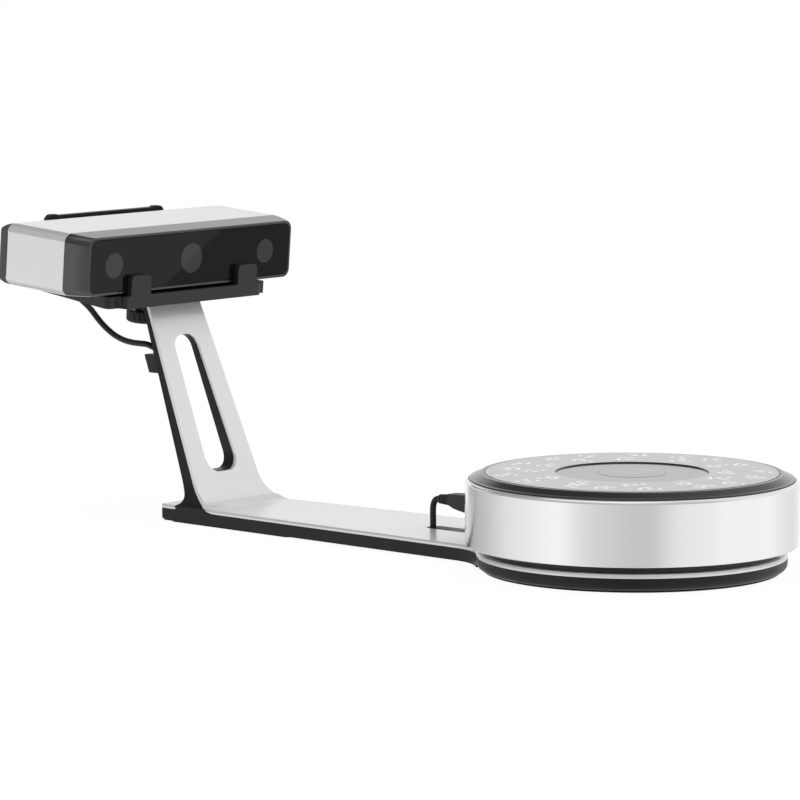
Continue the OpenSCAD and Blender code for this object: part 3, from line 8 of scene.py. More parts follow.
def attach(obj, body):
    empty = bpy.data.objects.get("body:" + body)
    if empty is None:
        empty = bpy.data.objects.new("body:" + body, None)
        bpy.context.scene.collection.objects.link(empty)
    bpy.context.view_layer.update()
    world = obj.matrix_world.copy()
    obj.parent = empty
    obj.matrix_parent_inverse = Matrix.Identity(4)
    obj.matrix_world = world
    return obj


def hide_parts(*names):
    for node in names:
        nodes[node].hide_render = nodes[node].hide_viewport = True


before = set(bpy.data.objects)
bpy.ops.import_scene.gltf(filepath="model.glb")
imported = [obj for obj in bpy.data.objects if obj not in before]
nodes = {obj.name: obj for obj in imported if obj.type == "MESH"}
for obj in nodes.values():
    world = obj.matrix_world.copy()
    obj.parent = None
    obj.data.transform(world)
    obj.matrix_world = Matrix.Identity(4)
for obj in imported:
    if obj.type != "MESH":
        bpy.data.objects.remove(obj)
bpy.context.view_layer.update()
scene = bpy.context.scene
print("frame loaded:", len(nodes), "nodes")

# the camera: place and reach in metres, its turns in radians, lens and sensor in millimetres
view = {"place": (1.8884, -2.4156, 0.4723), "azimuth": 0.7115, "drop": 0.1182, "roll": -0.0007, "lens": 219.31,
        "sensor": 36, "reach": 50}


def makeCamera():
    a, e = view["azimuth"], view["drop"]
    ahead = Vector((-math.sin(a) * math.cos(e), math.cos(a) * math.cos(e), -math.sin(e)))
    right = Vector((math.cos(a), math.sin(a), 0))
    up = (-ahead).cross(right)
    facing = Matrix((right, up, -ahead)).transposed().to_4x4() @ Matrix.Rotation(view["roll"], 4, "Z")
    data = bpy.data.cameras.new("camera")
    data.sensor_width = view["sensor"]
    data.lens = view["lens"]
    data.clip_end = view["reach"]
    cam = bpy.data.objects.new("camera", data)
    cam.matrix_world = Matrix.Translation(view["place"]) @ facing
    scene.collection.objects.link(cam)
    scene.camera = cam


makeCamera()


def newMaterial(name):
    mat = bpy.data.materials.new(name)
    mat.use_nodes = True
    tree = mat.node_tree
    coords = tree.nodes.new("ShaderNodeTexCoord")
    return mat, tree, tree.nodes["Principled BSDF"], coords.outputs["Object"]


# joins another node's output to a socket, or sets the socket to a fixed value
def feed(tree, socket, value):
    if isinstance(value, bpy.types.NodeSocket):
        tree.links.new(value, socket)
    else:
        socket.default_value = value


# scale per metre; a stretch makes the grain longer one way
def addNoise(tree, coords, scale, detail, rough=0.5, stretch=None):
    if stretch:
        mapping = tree.nodes.new("ShaderNodeMapping")
        mapping.inputs["Scale"].default_value = stretch
        tree.links.new(coords, mapping.inputs["Vector"])
        coords = mapping.outputs["Vector"]
    noise = tree.nodes.new("ShaderNodeTexNoise")
    noise.inputs["Scale"].default_value = scale
    noise.inputs["Detail"].default_value = detail
    noise.inputs["Roughness"].default_value = rough
    tree.links.new(coords, noise.inputs["Vector"])
    return noise.outputs["Fac"]


# a noise's usual range, or another one, spread over low to high
def spread(tree, value, low, high, fromLow=0.3, fromHigh=0.7):
    node = tree.nodes.new("ShaderNodeMapRange")
    node.inputs["From Min"].default_value = fromLow
    node.inputs["From Max"].default_value = fromHigh
    node.inputs["To Min"].default_value = low
    node.inputs["To Max"].default_value = high
    tree.links.new(value, node.inputs["Value"])
    return node.outputs["Result"]


def blendColours(tree, factor, first, second):
    node = tree.nodes.new("ShaderNodeMix")
    node.data_type = "RGBA"
    for name, value in (("Factor", factor), ("A", first), ("B", second)):
        feed(tree, node.inputs[name], value)
    return node.outputs["Result"]


def addMath(tree, operation, first, second):
    node = tree.nodes.new("ShaderNodeMath")
    node.operation = operation
    feed(tree, node.inputs[0], first)
    feed(tree, node.inputs[1], second)
    return node.outputs["Value"]


def mixShaders(tree, share, first, second):
    node = tree.nodes.new("ShaderNodeMixShader")
    tree.links.new(share, node.inputs["Fac"])
    tree.links.new(first, node.inputs[1])
    tree.links.new(second, node.inputs[2])
    return node.outputs["Shader"]


def addBump(tree, shader, height, strength, distance):
    bump = tree.nodes.new("ShaderNodeBump")
    bump.inputs["Strength"].default_value = strength
    bump.inputs["Distance"].default_value = distance
    tree.links.new(height, bump.inputs["Height"])
    tree.links.new(bump.outputs["Normal"], shader.inputs["Normal"])


def shaded(colour, share=1):
    return (*(min(1, c * share) for c in colour), 1)


# what a finish has where its own entry doesn't say: broad mottling, gloss in patches and a fine grain, the bump's
# depth in metres
plainFinish = {"mottle": 0.06, "broad": 35, "patch": 90, "grain": 1500, "grainRough": 0.6, "stretch": None,
               "bump": 0.15, "depth": 0.00005, "metal": 0, "coat": 0, "coatRough": 0.1, "specular": 0.5}
noiseDetail = {"broad": 3, "patch": 4, "grain": 2}

finishes = {
    "silverSkin": {"colour": (0.82, 0.82, 0.835), "gloss": (0.30, 0.33), "metal": 0.35, "grain": 3800, "bump": 0.02,
                   "depth": 0.00001, "mottle": 0.012, "coat": 0.4, "coatRough": 0.03},
    "silverShell": {"colour": (0.76, 0.76, 0.78), "gloss": (0.24, 0.27), "metal": 0.6, "grain": 4200, "bump": 0.02,
                    "depth": 0.00001, "mottle": 0.015, "coat": 0.25, "coatRough": 0.12},
    "drumPaint": {"colour": (0.80, 0.80, 0.82), "gloss": (0.14, 0.16), "metal": 0.75, "grain": 4200, "bump": 0.015,
                  "depth": 0.00001, "mottle": 0.01, "coat": 0.3, "coatRough": 0.04},
    "castingBlack": {"colour": (0.010, 0.010, 0.011), "gloss": (0.34, 0.44), "grain": 2600, "bump": 0.30,
                     "specular": 0.25},
    "blackMoulding": {"colour": (0.018, 0.018, 0.019), "gloss": (0.32, 0.42), "grain": 2300, "bump": 0.25,
                      "depth": 0.00004, "specular": 0.3},
    "bezelBlack": {"colour": (0.009, 0.009, 0.0095), "gloss": (0.15, 0.18), "grain": 3000, "bump": 0.03,
                   "depth": 0.00001, "specular": 0.9},
    "rearGrey": {"colour": (0.060, 0.058, 0.062), "gloss": (0.36, 0.46), "grain": 2400, "bump": 0.30},
    "rubberBlack": {"colour": (0.012, 0.012, 0.012), "gloss": (0.55, 0.68), "grain": 1800, "bump": 0.45,
                    "depth": 0.0001, "specular": 0.25},
    "cableJacket": {"colour": (0.009, 0.009, 0.010), "gloss": (0.34, 0.42), "grain": 2600, "bump": 0.25,
                    "specular": 0.35},
    "plugBlack": {"colour": (0.030, 0.029, 0.032), "gloss": (0.40, 0.50), "grain": 2200, "bump": 0.30,
                  "specular": 0.35},
    "steelBright": {"colour": (0.56, 0.56, 0.58), "gloss": (0.22, 0.32), "metal": 1, "grain": 3000, "bump": 0.10,
                    "depth": 0.00002, "stretch": (1, 1, 0.1)},
    "aluminiumMilled": {"colour": (0.60, 0.61, 0.63), "gloss": (0.30, 0.42), "metal": 1, "grain": 2400,
                        "depth": 0.00003, "stretch": (0.1, 1, 1)},
    "brassTurned": {"colour": (0.62, 0.44, 0.18), "gloss": (0.24, 0.34), "metal": 1, "grain": 3000, "bump": 0.10,
                    "depth": 0.00002},
    "boardGreen": {"colour": (0.02, 0.11, 0.05), "gloss": (0.25, 0.35), "grain": 900, "bump": 0.2, "depth": 0.00004},
    "nylonCream": {"colour": (0.68, 0.64, 0.54), "gloss": (0.38, 0.48), "grain": 1600, "bump": 0.2, "depth": 0.00004},
    "opticsBlack": {"colour": (0.015, 0.015, 0.017), "gloss": (0.5, 0.6), "grain": 2000, "bump": 0.3,
                    "depth": 0.00004},
    "platterBlack": {"colour": (0.011, 0.011, 0.012), "gloss": (0.14, 0.18), "grain": 2600, "bump": 0.06,
                     "depth": 0.00002},
    "markerGrey": {"colour": (0.030, 0.030, 0.032), "gloss": (0.07, 0.10), "grain": 2800, "bump": 0.03,
                   "depth": 0.00001, "coat": 0.5, "coatRough": 0.04},
    "padGrey": {"colour": (0.026, 0.026, 0.028), "gloss": (0.12, 0.16), "bump": 0.06, "depth": 0.00002,
                "coat": 0.25, "coatRough": 0.08},
    "printWhite": {"colour": (0.94, 0.94, 0.94), "gloss": (0.20, 0.25), "grain": 2000, "bump": 0.03,
                   "depth": 0.00001, "coat": 0.9, "coatRough": 0.05},
}


def makeFinish(name, own):
    look = {**plainFinish, **own}
    mat, tree, shader, coords = newMaterial(name)
    broad = addNoise(tree, coords, look["broad"], noiseDetail["broad"])
    grain = addNoise(tree, coords, look["grain"], noiseDetail["grain"], look["grainRough"], look["stretch"])
    patches = addNoise(tree, coords, look["patch"], noiseDetail["patch"])
    mottled = blendColours(tree, broad, shaded(look["colour"], 1 - look["mottle"]),
                           shaded(look["colour"], 1 + look["mottle"]))
    tree.links.new(mottled, shader.inputs["Base Color"])
    tree.links.new(spread(tree, patches, *look["gloss"]), shader.inputs["Roughness"])
    addBump(tree, shader, grain, look["bump"], look["depth"])
    for socket, key in (("Metallic", "metal"), ("Coat Weight", "coat"), ("Coat Roughness", "coatRough"),
                        ("Specular IOR Level", "specular")):
        shader.inputs[socket].default_value = look[key]
    return mat


finish = {name: makeFinish(name, own) for name, own in finishes.items()}

# the head's front on its middle line, in metres, and how far it leans forward
headPlace = {"x": -0.3815, "z": 0.1766, "tilt": math.radians(4.5)}
headMatrix = Matrix.Translation((headPlace["x"], 0, headPlace["z"])) @ Matrix.Rotation(headPlace["tilt"], 4, "Y")

# the dark front glass: a printed back with clear windows, each (place across, radius) in metres, seen as grey discs
glassLook = {"print": (0.0055, 0.0055, 0.006), "window": (0.055, 0.054, 0.061), "edge": 0.0004,
             "windows": [(-0.0756, 0.0085), (0.0, 0.0103), (0.0742, 0.0083)], "smear": 60, "gloss": (0.02, 0.03)}


def windowMask(tree, coords, y, radius):
    offset = tree.nodes.new("ShaderNodeVectorMath")
    offset.operation = "DISTANCE"
    offset.inputs[1].default_value = headMatrix @ Vector((0, y, 0))
    tree.links.new(coords, offset.inputs[0])
    soft = glassLook["edge"] / 2
    return spread(tree, offset.outputs["Value"], 1, 0, radius - soft, radius + soft)


def makeGlass():
    look = glassLook
    mat, tree, shader, coords = newMaterial("frontGlass")
    masks = [windowMask(tree, coords, y, radius) for y, radius in look["windows"]]
    clear = masks[0]
    for mask in masks[1:]:
        clear = addMath(tree, "MAXIMUM", clear, mask)
    tree.links.new(blendColours(tree, clear, shaded(look["print"]), shaded(look["window"])),
                   shader.inputs["Base Color"])
    smears = addNoise(tree, coords, look["smear"], noiseDetail["patch"])
    tree.links.new(spread(tree, smears, *look["gloss"]), shader.inputs["Roughness"])
    return mat


finish["frontGlass"] = makeGlass()
print("materials made:", len(finish))

# the CAD nodes that are shown as they are; those that a piece stands for are hidden later
nodeFinish = {
    "base_screws": "steelBright", "cradle_pads": "rubberBlack", "cradle_screws": "steelBright",
    "window_mask": "opticsBlack", "optical_bench": "aluminiumMilled", "camera_left": "opticsBlack",
    "camera_right": "opticsBlack", "projector": "opticsBlack", "camera_lens_left": "frontGlass",
    "camera_lens_right": "frontGlass", "projector_lens": "frontGlass", "main_board": "boardGreen",
    "heat_sink": "aluminiumMilled", "rear_screws": "steelBright", "usb_socket": "steelBright",
    "power_socket": "blackMoulding", "link_socket": "blackMoulding", "tripod_insert": "brassTurned",
    "thumbscrew_washer": "steelBright", "drum_chassis": "blackMoulding", "housing_screws": "steelBright",
    "lower_race": "steelBright", "upper_race": "steelBright", "ball_cage": "brassTurned",
    "bearing_balls": "steelBright", "motor": "steelBright", "motor_bracket": "aluminiumMilled",
    "bracket_screws": "steelBright", "motor_shaft": "steelBright", "pinion": "brassTurned",
    "spindle_bush": "brassTurned", "turntable_board": "boardGreen", "turntable_socket": "blackMoulding",
    "spindle": "steelBright", "driven_gear": "nylonCream", "bottom_cover": "blackMoulding",
}
for nodeName, obj in nodes.items():
    obj.data.materials.clear()
    obj.data.materials.append(finish[nodeFinish.get(nodeName, "blackMoulding")])

millimetre = 0.001


def makePiece(bm, name, finishName, body, hides=(), smooth=35, recalc=True):
    if recalc:
        bmesh.ops.recalc_face_normals(bm, faces=bm.faces)
    mesh = bpy.data.meshes.new(name)
    bm.to_mesh(mesh)
    bm.free()
    mesh.materials.append(finish[finishName])
    mesh.shade_smooth()
    mesh.set_sharp_from_angle(angle=math.radians(smooth))
    piece = bpy.data.objects.new(name, mesh)
    scene.collection.objects.link(piece)
    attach(piece, body)
    if hides:
        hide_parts(*hides)
    return piece


# large flat faces keep their own shading beside small softened edges
def keepFlat(piece):
    shade = piece.modifiers.new("flatShade", "WEIGHTED_NORMAL")
    shade.keep_sharp = True


# distance in metres below which points merge, and in degrees what still counts as flat and what as a sharp edge
softLook = {"merge": 0.000004, "flat": 0.6, "sharp": 25}


# a copy of a CAD node with its loose triangles merged and its edges softened by a width in metres
def softened(node, name, finishName, body, width, segments=2):
    bm = bmesh.new()
    bm.from_mesh(nodes[node].data)
    bmesh.ops.remove_doubles(bm, verts=bm.verts, dist=softLook["merge"])
    bmesh.ops.dissolve_limit(bm, angle_limit=math.radians(softLook["flat"]), verts=bm.verts, edges=bm.edges,
                             use_dissolve_boundaries=False)
    if width:
        sharp = math.radians(softLook["sharp"])
        edges = [e for e in bm.edges if len(e.link_faces) == 2 and e.calc_face_angle(0) > sharp]
        bmesh.ops.bevel(bm, geom=edges, offset=width, offset_type="OFFSET", segments=segments, profile=0.5,
                        affect="EDGES", clamp_overlap=True, material=-1)
    keepFlat(makePiece(bm, name, finishName, body, (node,), recalc=False))


turnLook = {"steps": 192, "merge": 0.000001}


# a profile of (radius, height) points in millimetres turned about the platter's axis
def turned(profile, name, finishName, body, node, smooth=30):
    bm = bmesh.new()
    verts = [bm.verts.new((r * millimetre, 0, z * millimetre)) for r, z in profile]
    edges = [bm.edges.new((verts[i], verts[(i + 1) % len(verts)])) for i in range(len(verts))]
    bmesh.ops.spin(bm, geom=verts + edges, cent=(0, 0, 0), axis=(0, 0, 1), angle=math.tau,
                   steps=turnLook["steps"], use_merge=True)
    bmesh.ops.remove_doubles(bm, verts=bm.verts, dist=turnLook["merge"])
    keepFlat(makePiece(bm, name, finishName, body, (node,), smooth))


# points of an arc in millimetres, from one angle to another in degrees
def arc(cx, cz, r, start, end, steps):
    turns = [math.radians(start + (end - start) * k / steps) for k in range(steps + 1)]
    return [(cx + r * math.cos(turn), cz + r * math.sin(turn)) for turn in turns]


# widths of the softened edges in metres
standLook = {"casting": 0.0004, "column": 0.0010, "plate": 0, "foot": 0.0003, "clip": 0.0006, "clipSteps": 3}


def makeStand():
    look = standLook
    softened("stand_frame", "standCasting", "castingBlack", "base", look["casting"])
    softened("column_plate", "columnSkin", "silverSkin", "base", look["column"])
    softened("base_plate", "baseSkin", "silverSkin", "base", look["plate"])
    softened("tail_plate", "tailSkin", "silverSkin", "base", look["plate"])
    softened("rear_foot_pad", "rearFoot", "rubberBlack", "base", look["foot"])
    softened("disc_foot_pad", "discFoot", "rubberBlack", "base", look["foot"])
    softened("cable_clip", "cableClip", "blackMoulding", "base", look["clip"], look["clipSteps"])


makeStand()
print("stand made")

# the scan head in millimetres: half its width and height, then depths behind its front and radii
headLook = {"half": 106, "rise": 21.2, "depth": 82, "bezel": 18, "cover": 72, "seam": 0.3, "corner": 6, "rear": 13,
            "wall": 2.2, "drop": 1.4, "draft": 5.8, "draftCurve": 1.9, "chamfer": 0.25, "cornerSteps": 8}


# half width, half height and corner radius of the head at a depth behind its front, set in by an amount
def headSize(depth, inset=0.0):
    look = headLook
    y, z = look["half"] - inset, look["rise"] - inset
    if depth < look["bezel"]:
        share = 1 - depth / look["bezel"]
        y -= look["draft"] * share ** look["draftCurve"]
        z -= look["drop"] * share
    behind = look["depth"] - inset - depth
    for radius, axis in ((look["rear"] - inset, "z"), (look["corner"] - inset, "y")):
        if behind < radius:
            lost = radius - math.sqrt(max(0, radius ** 2 - (radius - behind) ** 2))
            y, z = (y - lost, z) if axis == "y" else (y, z - lost)
    return y, z, look["corner"] - inset


# points round a rounded rectangle at a depth on the head
def headLoop(bm, depth, y, z, radius):
    loop = []
    steps = headLook["cornerSteps"]
    for k, (sideY, sideZ) in enumerate(((1, 1), (-1, 1), (-1, -1), (1, -1))):
        for step in range(steps + 1):
            turn = math.radians(90 * k + 90 * step / steps)
            place = Vector((-depth, sideY * (y - radius) + radius * math.cos(turn),
                            sideZ * (z - radius) + radius * math.sin(turn)))
            loop.append(bm.verts.new(headMatrix @ (place * millimetre)))
    return loop


# quads from each loop to the next
def joinLoops(bm, loops):
    for loop, after in zip(loops, loops[1:]):
        for k in range(len(loop)):
            n = (k + 1) % len(loop)
            bm.faces.new((loop[k], loop[n], after[n], after[k]))


# a closed ring of loops, the last joined to the first
def loftPiece(sizes, name, finishName, node, smooth=35):
    bm = bmesh.new()
    loops = [headLoop(bm, *size) for size in sizes]
    joinLoops(bm, loops + loops[:1])
    keepFlat(makePiece(bm, name, finishName, "base", (node,), smooth))


# depths of the silver shell's loops, closer together where its rear rounds off
shellLook = {"depths": (30, 45, 60, 68, 69, 70, 71, 72)}


def makeShell():
    look = headLook
    front, rear = look["bezel"] + look["seam"] / 2, look["cover"] - look["seam"] / 2
    soft, wall = look["chamfer"], look["wall"]
    depths = [front + soft, *shellLook["depths"], rear - soft]
    sizes = [(front, *headSize(front, soft))] + [(d, *headSize(d)) for d in depths]
    sizes.append((rear, *headSize(rear, soft)))
    sizes += [(d, *headSize(d, wall)) for d in [rear] + depths[::-1] + [front]]
    loftPiece(sizes, "headShell", "silverShell", "head_sleeve")


# the glass plate in millimetres: half its width and height, then depths behind the head's front
glassShape = {"halfY": 98.2, "halfV": 17.8, "corner": 4.8, "front": 0.2, "rear": 1.4, "edge": 0.25, "smooth": 30}

# the black front frame: its softened front edge, the room and shelf for the glass, and its inside behind the shelf
bezelLook = {"depths": (15, 12, 9, 6, 4, 2.4), "edge": 0.6, "edgeSteps": 6, "gap": 0.2, "mouth": 0.25, "shelf": 4,
             "shelfDepth": 1.5, "shelfCorner": 2, "behind": 2, "thicker": 0.6, "smooth": 40}


def makeBezel():
    look, glass, soft, r = bezelLook, glassShape, headLook["chamfer"], bezelLook["edge"]
    rear = headLook["bezel"] - headLook["seam"] / 2
    sizes = [(rear, *headSize(rear, soft))] + [(d, *headSize(d)) for d in (rear - soft, *look["depths"])]
    for k in range(look["edgeSteps"] + 1):
        turn = math.radians(90 * k / look["edgeSteps"])
        depth = r * (1 - math.sin(turn))
        sizes.append((depth, *headSize(depth, r * (1 - math.cos(turn)))))
    hole = [glass[key] + look["gap"] for key in ("halfY", "halfV", "corner")]
    seat, shelf = glass["rear"], (hole[0] - look["shelf"], hole[1] - look["shelf"], look["shelfCorner"])
    sizes += [(0, *(v + look["mouth"] for v in hole)), (look["mouth"], *hole), (seat, *hole), (seat, *shelf),
              (seat + look["shelfDepth"], *shelf)]
    sizes += [(seat + look["behind"], *headSize(seat + look["behind"], headLook["wall"] + look["thicker"])),
              (rear, *headSize(rear, headLook["wall"]))]
    loftPiece(sizes, "bezel", "bezelBlack", "front_bezel", look["smooth"])


def makeFrontGlass():
    g, e = glassShape, glassShape["edge"]
    bm = bmesh.new()
    loops = [headLoop(bm, *size) for size in (
        (g["rear"], g["halfY"], g["halfV"], g["corner"]), (g["front"] + e, g["halfY"], g["halfV"], g["corner"]),
        (g["front"], g["halfY"] - e, g["halfV"] - e, g["corner"] - e))]
    joinLoops(bm, loops)
    bm.faces.new(loops[0])
    bm.faces.new(loops[-1])
    keepFlat(makePiece(bm, "glassPlate", "frontGlass", "base", ("front_glass",), g["smooth"]))


# widths of the softened edges in metres
headEdges = {"cover": 0.0003, "cradle": 0.0005, "cradleSteps": 3, "screw": 0.0004, "rocker": 0.0003}

makeShell()
makeBezel()
makeFrontGlass()
softened("rear_cover", "rearCover", "rearGrey", "base", headEdges["cover"])
softened("cradle", "cradleTray", "blackMoulding", "base", headEdges["cradle"],
         headEdges["cradleSteps"])
softened("thumbscrew", "headScrew", "blackMoulding", "screw", headEdges["screw"])
softened("power_rocker", "rocker", "blackMoulding", "rocker", headEdges["rocker"])
print("scan head made")

# the turntable in millimetres: radii from the platter's axis and heights above the table
drumLook = {"outer": 106, "low": 17.1, "high": 58.4, "wall": 2, "hole": 94.2, "lip": 0.5, "lowEdge": 0.8,
            "lowSteps": 4, "topEdge": 2.4, "topTurn": 84, "topSteps": 8}


def makeDrum():
    d = drumLook
    inner, floor = d["outer"] - d["wall"], d["low"] + d["wall"]
    profile = [(d["hole"], d["low"])]
    profile += arc(d["outer"] - d["lowEdge"], d["low"] + d["lowEdge"], d["lowEdge"], -90, 0, d["lowSteps"])
    profile += arc(d["outer"] - d["topEdge"], d["high"] - d["topEdge"], d["topEdge"], 0, d["topTurn"],
                   d["topSteps"])
    profile += [(inner, d["high"] - d["lip"]), (inner, floor), (d["hole"], floor)]
    turned(profile, "drumShell", "drumPaint", "base", "drum_housing")


# the black platter with its sloping, grooved rim; each groove is (across, down) from its own start
platterLook = {"axis": 0.001, "top": 62.5, "web": 61.1, "low": 57.7, "bore": 93.7, "edge": 0.2, "land": 96.1,
               "rim": 103.5, "rimEdge": 1.0, "rimTop": 59.0, "rimDrop": 0.6, "rimTurn": 62, "rimSteps": 5,
               "skirt": 54.5, "wall": 3, "grooves": (97.6, 99.2, 100.8), "groove": ((0.12, 0.3), (0.42, 0.4)),
               "grooveWidth": 0.55, "seat": 0.05, "smooth": 25}
# the flat rings on its web, with softened upper edges as (across, down)
markerLook = {"bore": 48.7, "rim": 93.2, "top": 62.7, "boreEdge": (0.15, 0.15), "rimEdge": (0.2, 0.2)}
padLook = {"bore": 21.6, "rim": 48.45, "top": 61.9, "boreEdge": (0.15, 0.08), "rimEdge": (0.15, 0.1)}
discLook = {"rim": 21.4, "top": 62.0, "rimEdge": (0.2, 0.1)}


def makeFlatRing(look, name, finishName, node):
    foot, rim, top = platterLook["web"] + platterLook["seat"], look["rim"], look["top"]
    if "bore" in look:
        bore, (across, down) = look["bore"], look["boreEdge"]
        profile = [(bore, foot), (bore, top - down), (bore + across, top)]
    else:
        profile = [(platterLook["axis"], foot), (platterLook["axis"], top)]
    across, down = look["rimEdge"]
    profile += [(rim - across, top), (rim, top - down), (rim, foot)]
    turned(profile, name, finishName, "platter", node)


def makePlatter():
    p = platterLook
    top, bore, rim, edge = p["top"], p["bore"], p["rim"], p["rimEdge"]
    slope = (top - p["rimTop"]) / (rim - edge - p["land"])
    profile = [(p["axis"], p["low"]), (p["axis"], p["web"]), (bore, p["web"]), (bore, top - p["edge"]),
               (bore + p["edge"], top), (p["land"], top)]
    for x in p["grooves"]:
        z = top - slope * (x - p["land"])
        profile += [(x, z)] + [(x + across, z - down) for across, down in p["groove"]]
        profile.append((x + p["grooveWidth"], z - slope * p["grooveWidth"]))
    profile += arc(rim - edge, p["rimTop"] - p["rimDrop"], edge, p["rimTurn"], 0, p["rimSteps"])
    profile += [(rim, p["skirt"]), (rim - p["wall"], p["skirt"]), (rim - p["wall"], p["low"])]
    turned(profile, "platterTop", "platterBlack", "platter", "platter", p["smooth"])
    makeFlatRing(markerLook, "markerRing", "markerGrey", "marker_ring")
    makeFlatRing(padLook, "middlePad", "padGrey", "centre_pad")
    makeFlatRing(discLook, "middleDisc", "padGrey", "centre_cap")


# white printed marks: dots with a few short bars about each, in rows of (radius, count, first angle), a little
# shaken from an even spacing; lengths in millimetres, angles in degrees
markLook = {"rows": [(80.5, 17, 0.0), (62.5, 12, 9.0)], "shakeTurn": 3, "shakeRadius": 1.5, "dot": 2.3,
            "dotSides": 20, "barPlaces": 8, "barCounts": (3, 4, 4, 5), "barDistance": 6.4, "barLength": 4.6,
            "barWidth": 2.5, "height": 0.03, "thickness": 0.06, "smooth": 30, "seed": 11}


def makeMarks():
    look = markLook
    random.seed(look["seed"])
    bm = bmesh.new()
    up = Vector((0, 0, (markerLook["top"] + look["height"]) * millimetre))
    shift = Matrix.Translation((look["barDistance"] * millimetre, 0, 0))
    size = Matrix.Diagonal((look["barWidth"] * millimetre, look["barLength"] * millimetre, 1, 1))
    for radius, count, start in look["rows"]:
        for i in range(count):
            angle = math.radians(start + 360 * i / count + random.uniform(-look["shakeTurn"], look["shakeTurn"]))
            out = radius + random.uniform(-look["shakeRadius"], look["shakeRadius"])
            spin = random.uniform(0, math.tau)
            place = Matrix.Translation(Vector((math.cos(angle), math.sin(angle), 0)) * out * millimetre + up)
            bmesh.ops.create_circle(bm, cap_ends=True, segments=look["dotSides"],
                                    radius=look["dot"] * millimetre, matrix=place)
            for k in random.sample(range(look["barPlaces"]), random.choice(look["barCounts"])):
                turn = Matrix.Rotation(spin + k * math.tau / look["barPlaces"], 4, "Z")
                bmesh.ops.create_grid(bm, x_segments=1, y_segments=1, size=0.5, matrix=place @ turn @ shift @ size)
    made = bmesh.ops.extrude_face_region(bm, geom=bm.faces[:])
    verts = [g for g in made["geom"] if isinstance(g, bmesh.types.BMVert)]
    bmesh.ops.translate(bm, vec=(0, 0, -look["thickness"] * millimetre), verts=verts)
    makePiece(bm, "ringMarks", "printWhite", "platter", (), look["smooth"])


makeDrum()
makePlatter()
makeMarks()
print("turntable made")

# the column's back, which the cable follows: its lean in degrees, where it starts and ends, and the column's
# thickness there, in millimetres
columnBack = {"lean": 22.5, "footX": 343, "low": 11.8, "high": 148.38, "lowThick": 11.6, "highThick": 5.6}
cableLook = {"diameter": 4.2, "gap": 0.4, "side": -18, "under": 4.9, "roundness": 4, "pathSteps": 5,
             "legHeights": (113.2, 110, 106, 100, 88, 76, 64, 52, 40, 30, 22),
             "baseXs": (-290, -266, -242, -218, -194, -174)}


def legX(z):
    back = columnBack
    lean = math.radians(back["lean"])
    share = (z - back["low"]) / (back["high"] - back["low"])
    thick = back["lowThick"] + (back["highThick"] - back["lowThick"]) * share
    x = back["footX"] + (z - back["low"]) * math.tan(lean) + thick / math.cos(lean)
    return -x - (cableLook["diameter"] / 2 + cableLook["gap"]) / math.cos(lean)


# from the head down to the clip, down the left leg, under the base and up through the slot to the drum
cableRoute = [(-484.8, 0, 184.7), (-487.5, 0, 184.8), (-492, 0, 184.6), (-497, 0, 182), (-500, 0, 177),
              (-501, -0.5, 169), (-499.5, -1, 160), (-494.5, -2, 151), (-486, -3.5, 143.5), (-474.5, -5, 137),
              (-461, -7.5, 127.8), (-449, -10.5, 122.3), (-437, -13.5, 118.9), (-425, -16, 117.4),
              (-413, -17.5, 117.2), (-407, -18, 117.1), (-402.4, -18, 115.9)]
cableRoute += [(legX(z), cableLook["side"], z) for z in cableLook["legHeights"]]
cableRoute += [(-366, -18, 16), (-366.3, -18, 11.5), (-366.2, -18, 8), (-364.4, -18, 5.6), (-360.5, -18, 4.9),
               (-346, -18, 4.9), (-338.5, -17.6, 4.9), (-333, -15.5, 4.9), (-318, -8.5, 4.9), (-305, -2.4, 4.9),
               (-299, -0.4, 4.9)]
cableRoute += [(x, 0, cableLook["under"]) for x in cableLook["baseXs"]]
cableRoute += [(-170, 0, 5.1), (-167.4, 0, 6.6), (-165.8, 0, 9.4), (-165.5, 0, 13), (-165.5, 0, 19),
               (-165.5, 0, 24), (-165, 0, 27.2), (-163.6, 0, 29.6), (-161.4, 0, 30.8), (-159.2, 0, 31),
               (-155, 0, 31), (-151.2, 0, 31)]


def makeCable():
    look = cableLook
    curve = bpy.data.curves.new("linkCable", "CURVE")
    curve.dimensions = "3D"
    curve.bevel_depth = look["diameter"] / 2 * millimetre
    curve.bevel_resolution = look["roundness"]
    curve.resolution_u = look["pathSteps"]
    curve.use_fill_caps = True
    line = curve.splines.new("BEZIER")
    line.bezier_points.add(len(cableRoute) - 1)
    for point, place in zip(line.bezier_points, cableRoute):
        point.co = Vector(place) * millimetre
        point.handle_left_type = "AUTO"
        point.handle_right_type = "AUTO"
    curve.materials.append(finish["cableJacket"])
    piece = bpy.data.objects.new("linkCable", curve)
    scene.collection.objects.link(piece)
    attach(piece, "base")
    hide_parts("link_cable")


# widths of the softened edges in metres
plugLook = {"head": 0.0004, "drum": 0.0006, "drumSteps": 3, "relief": 0.0002}

makeCable()
softened("head_plug", "headPlug", "plugBlack", "base", plugLook["head"])
softened("drum_plug", "drumPlug", "plugBlack", "base", plugLook["drum"], plugLook["drumSteps"])
softened("strain_relief", "strainRelief", "plugBlack", "base", plugLook["relief"])
print("cable made")

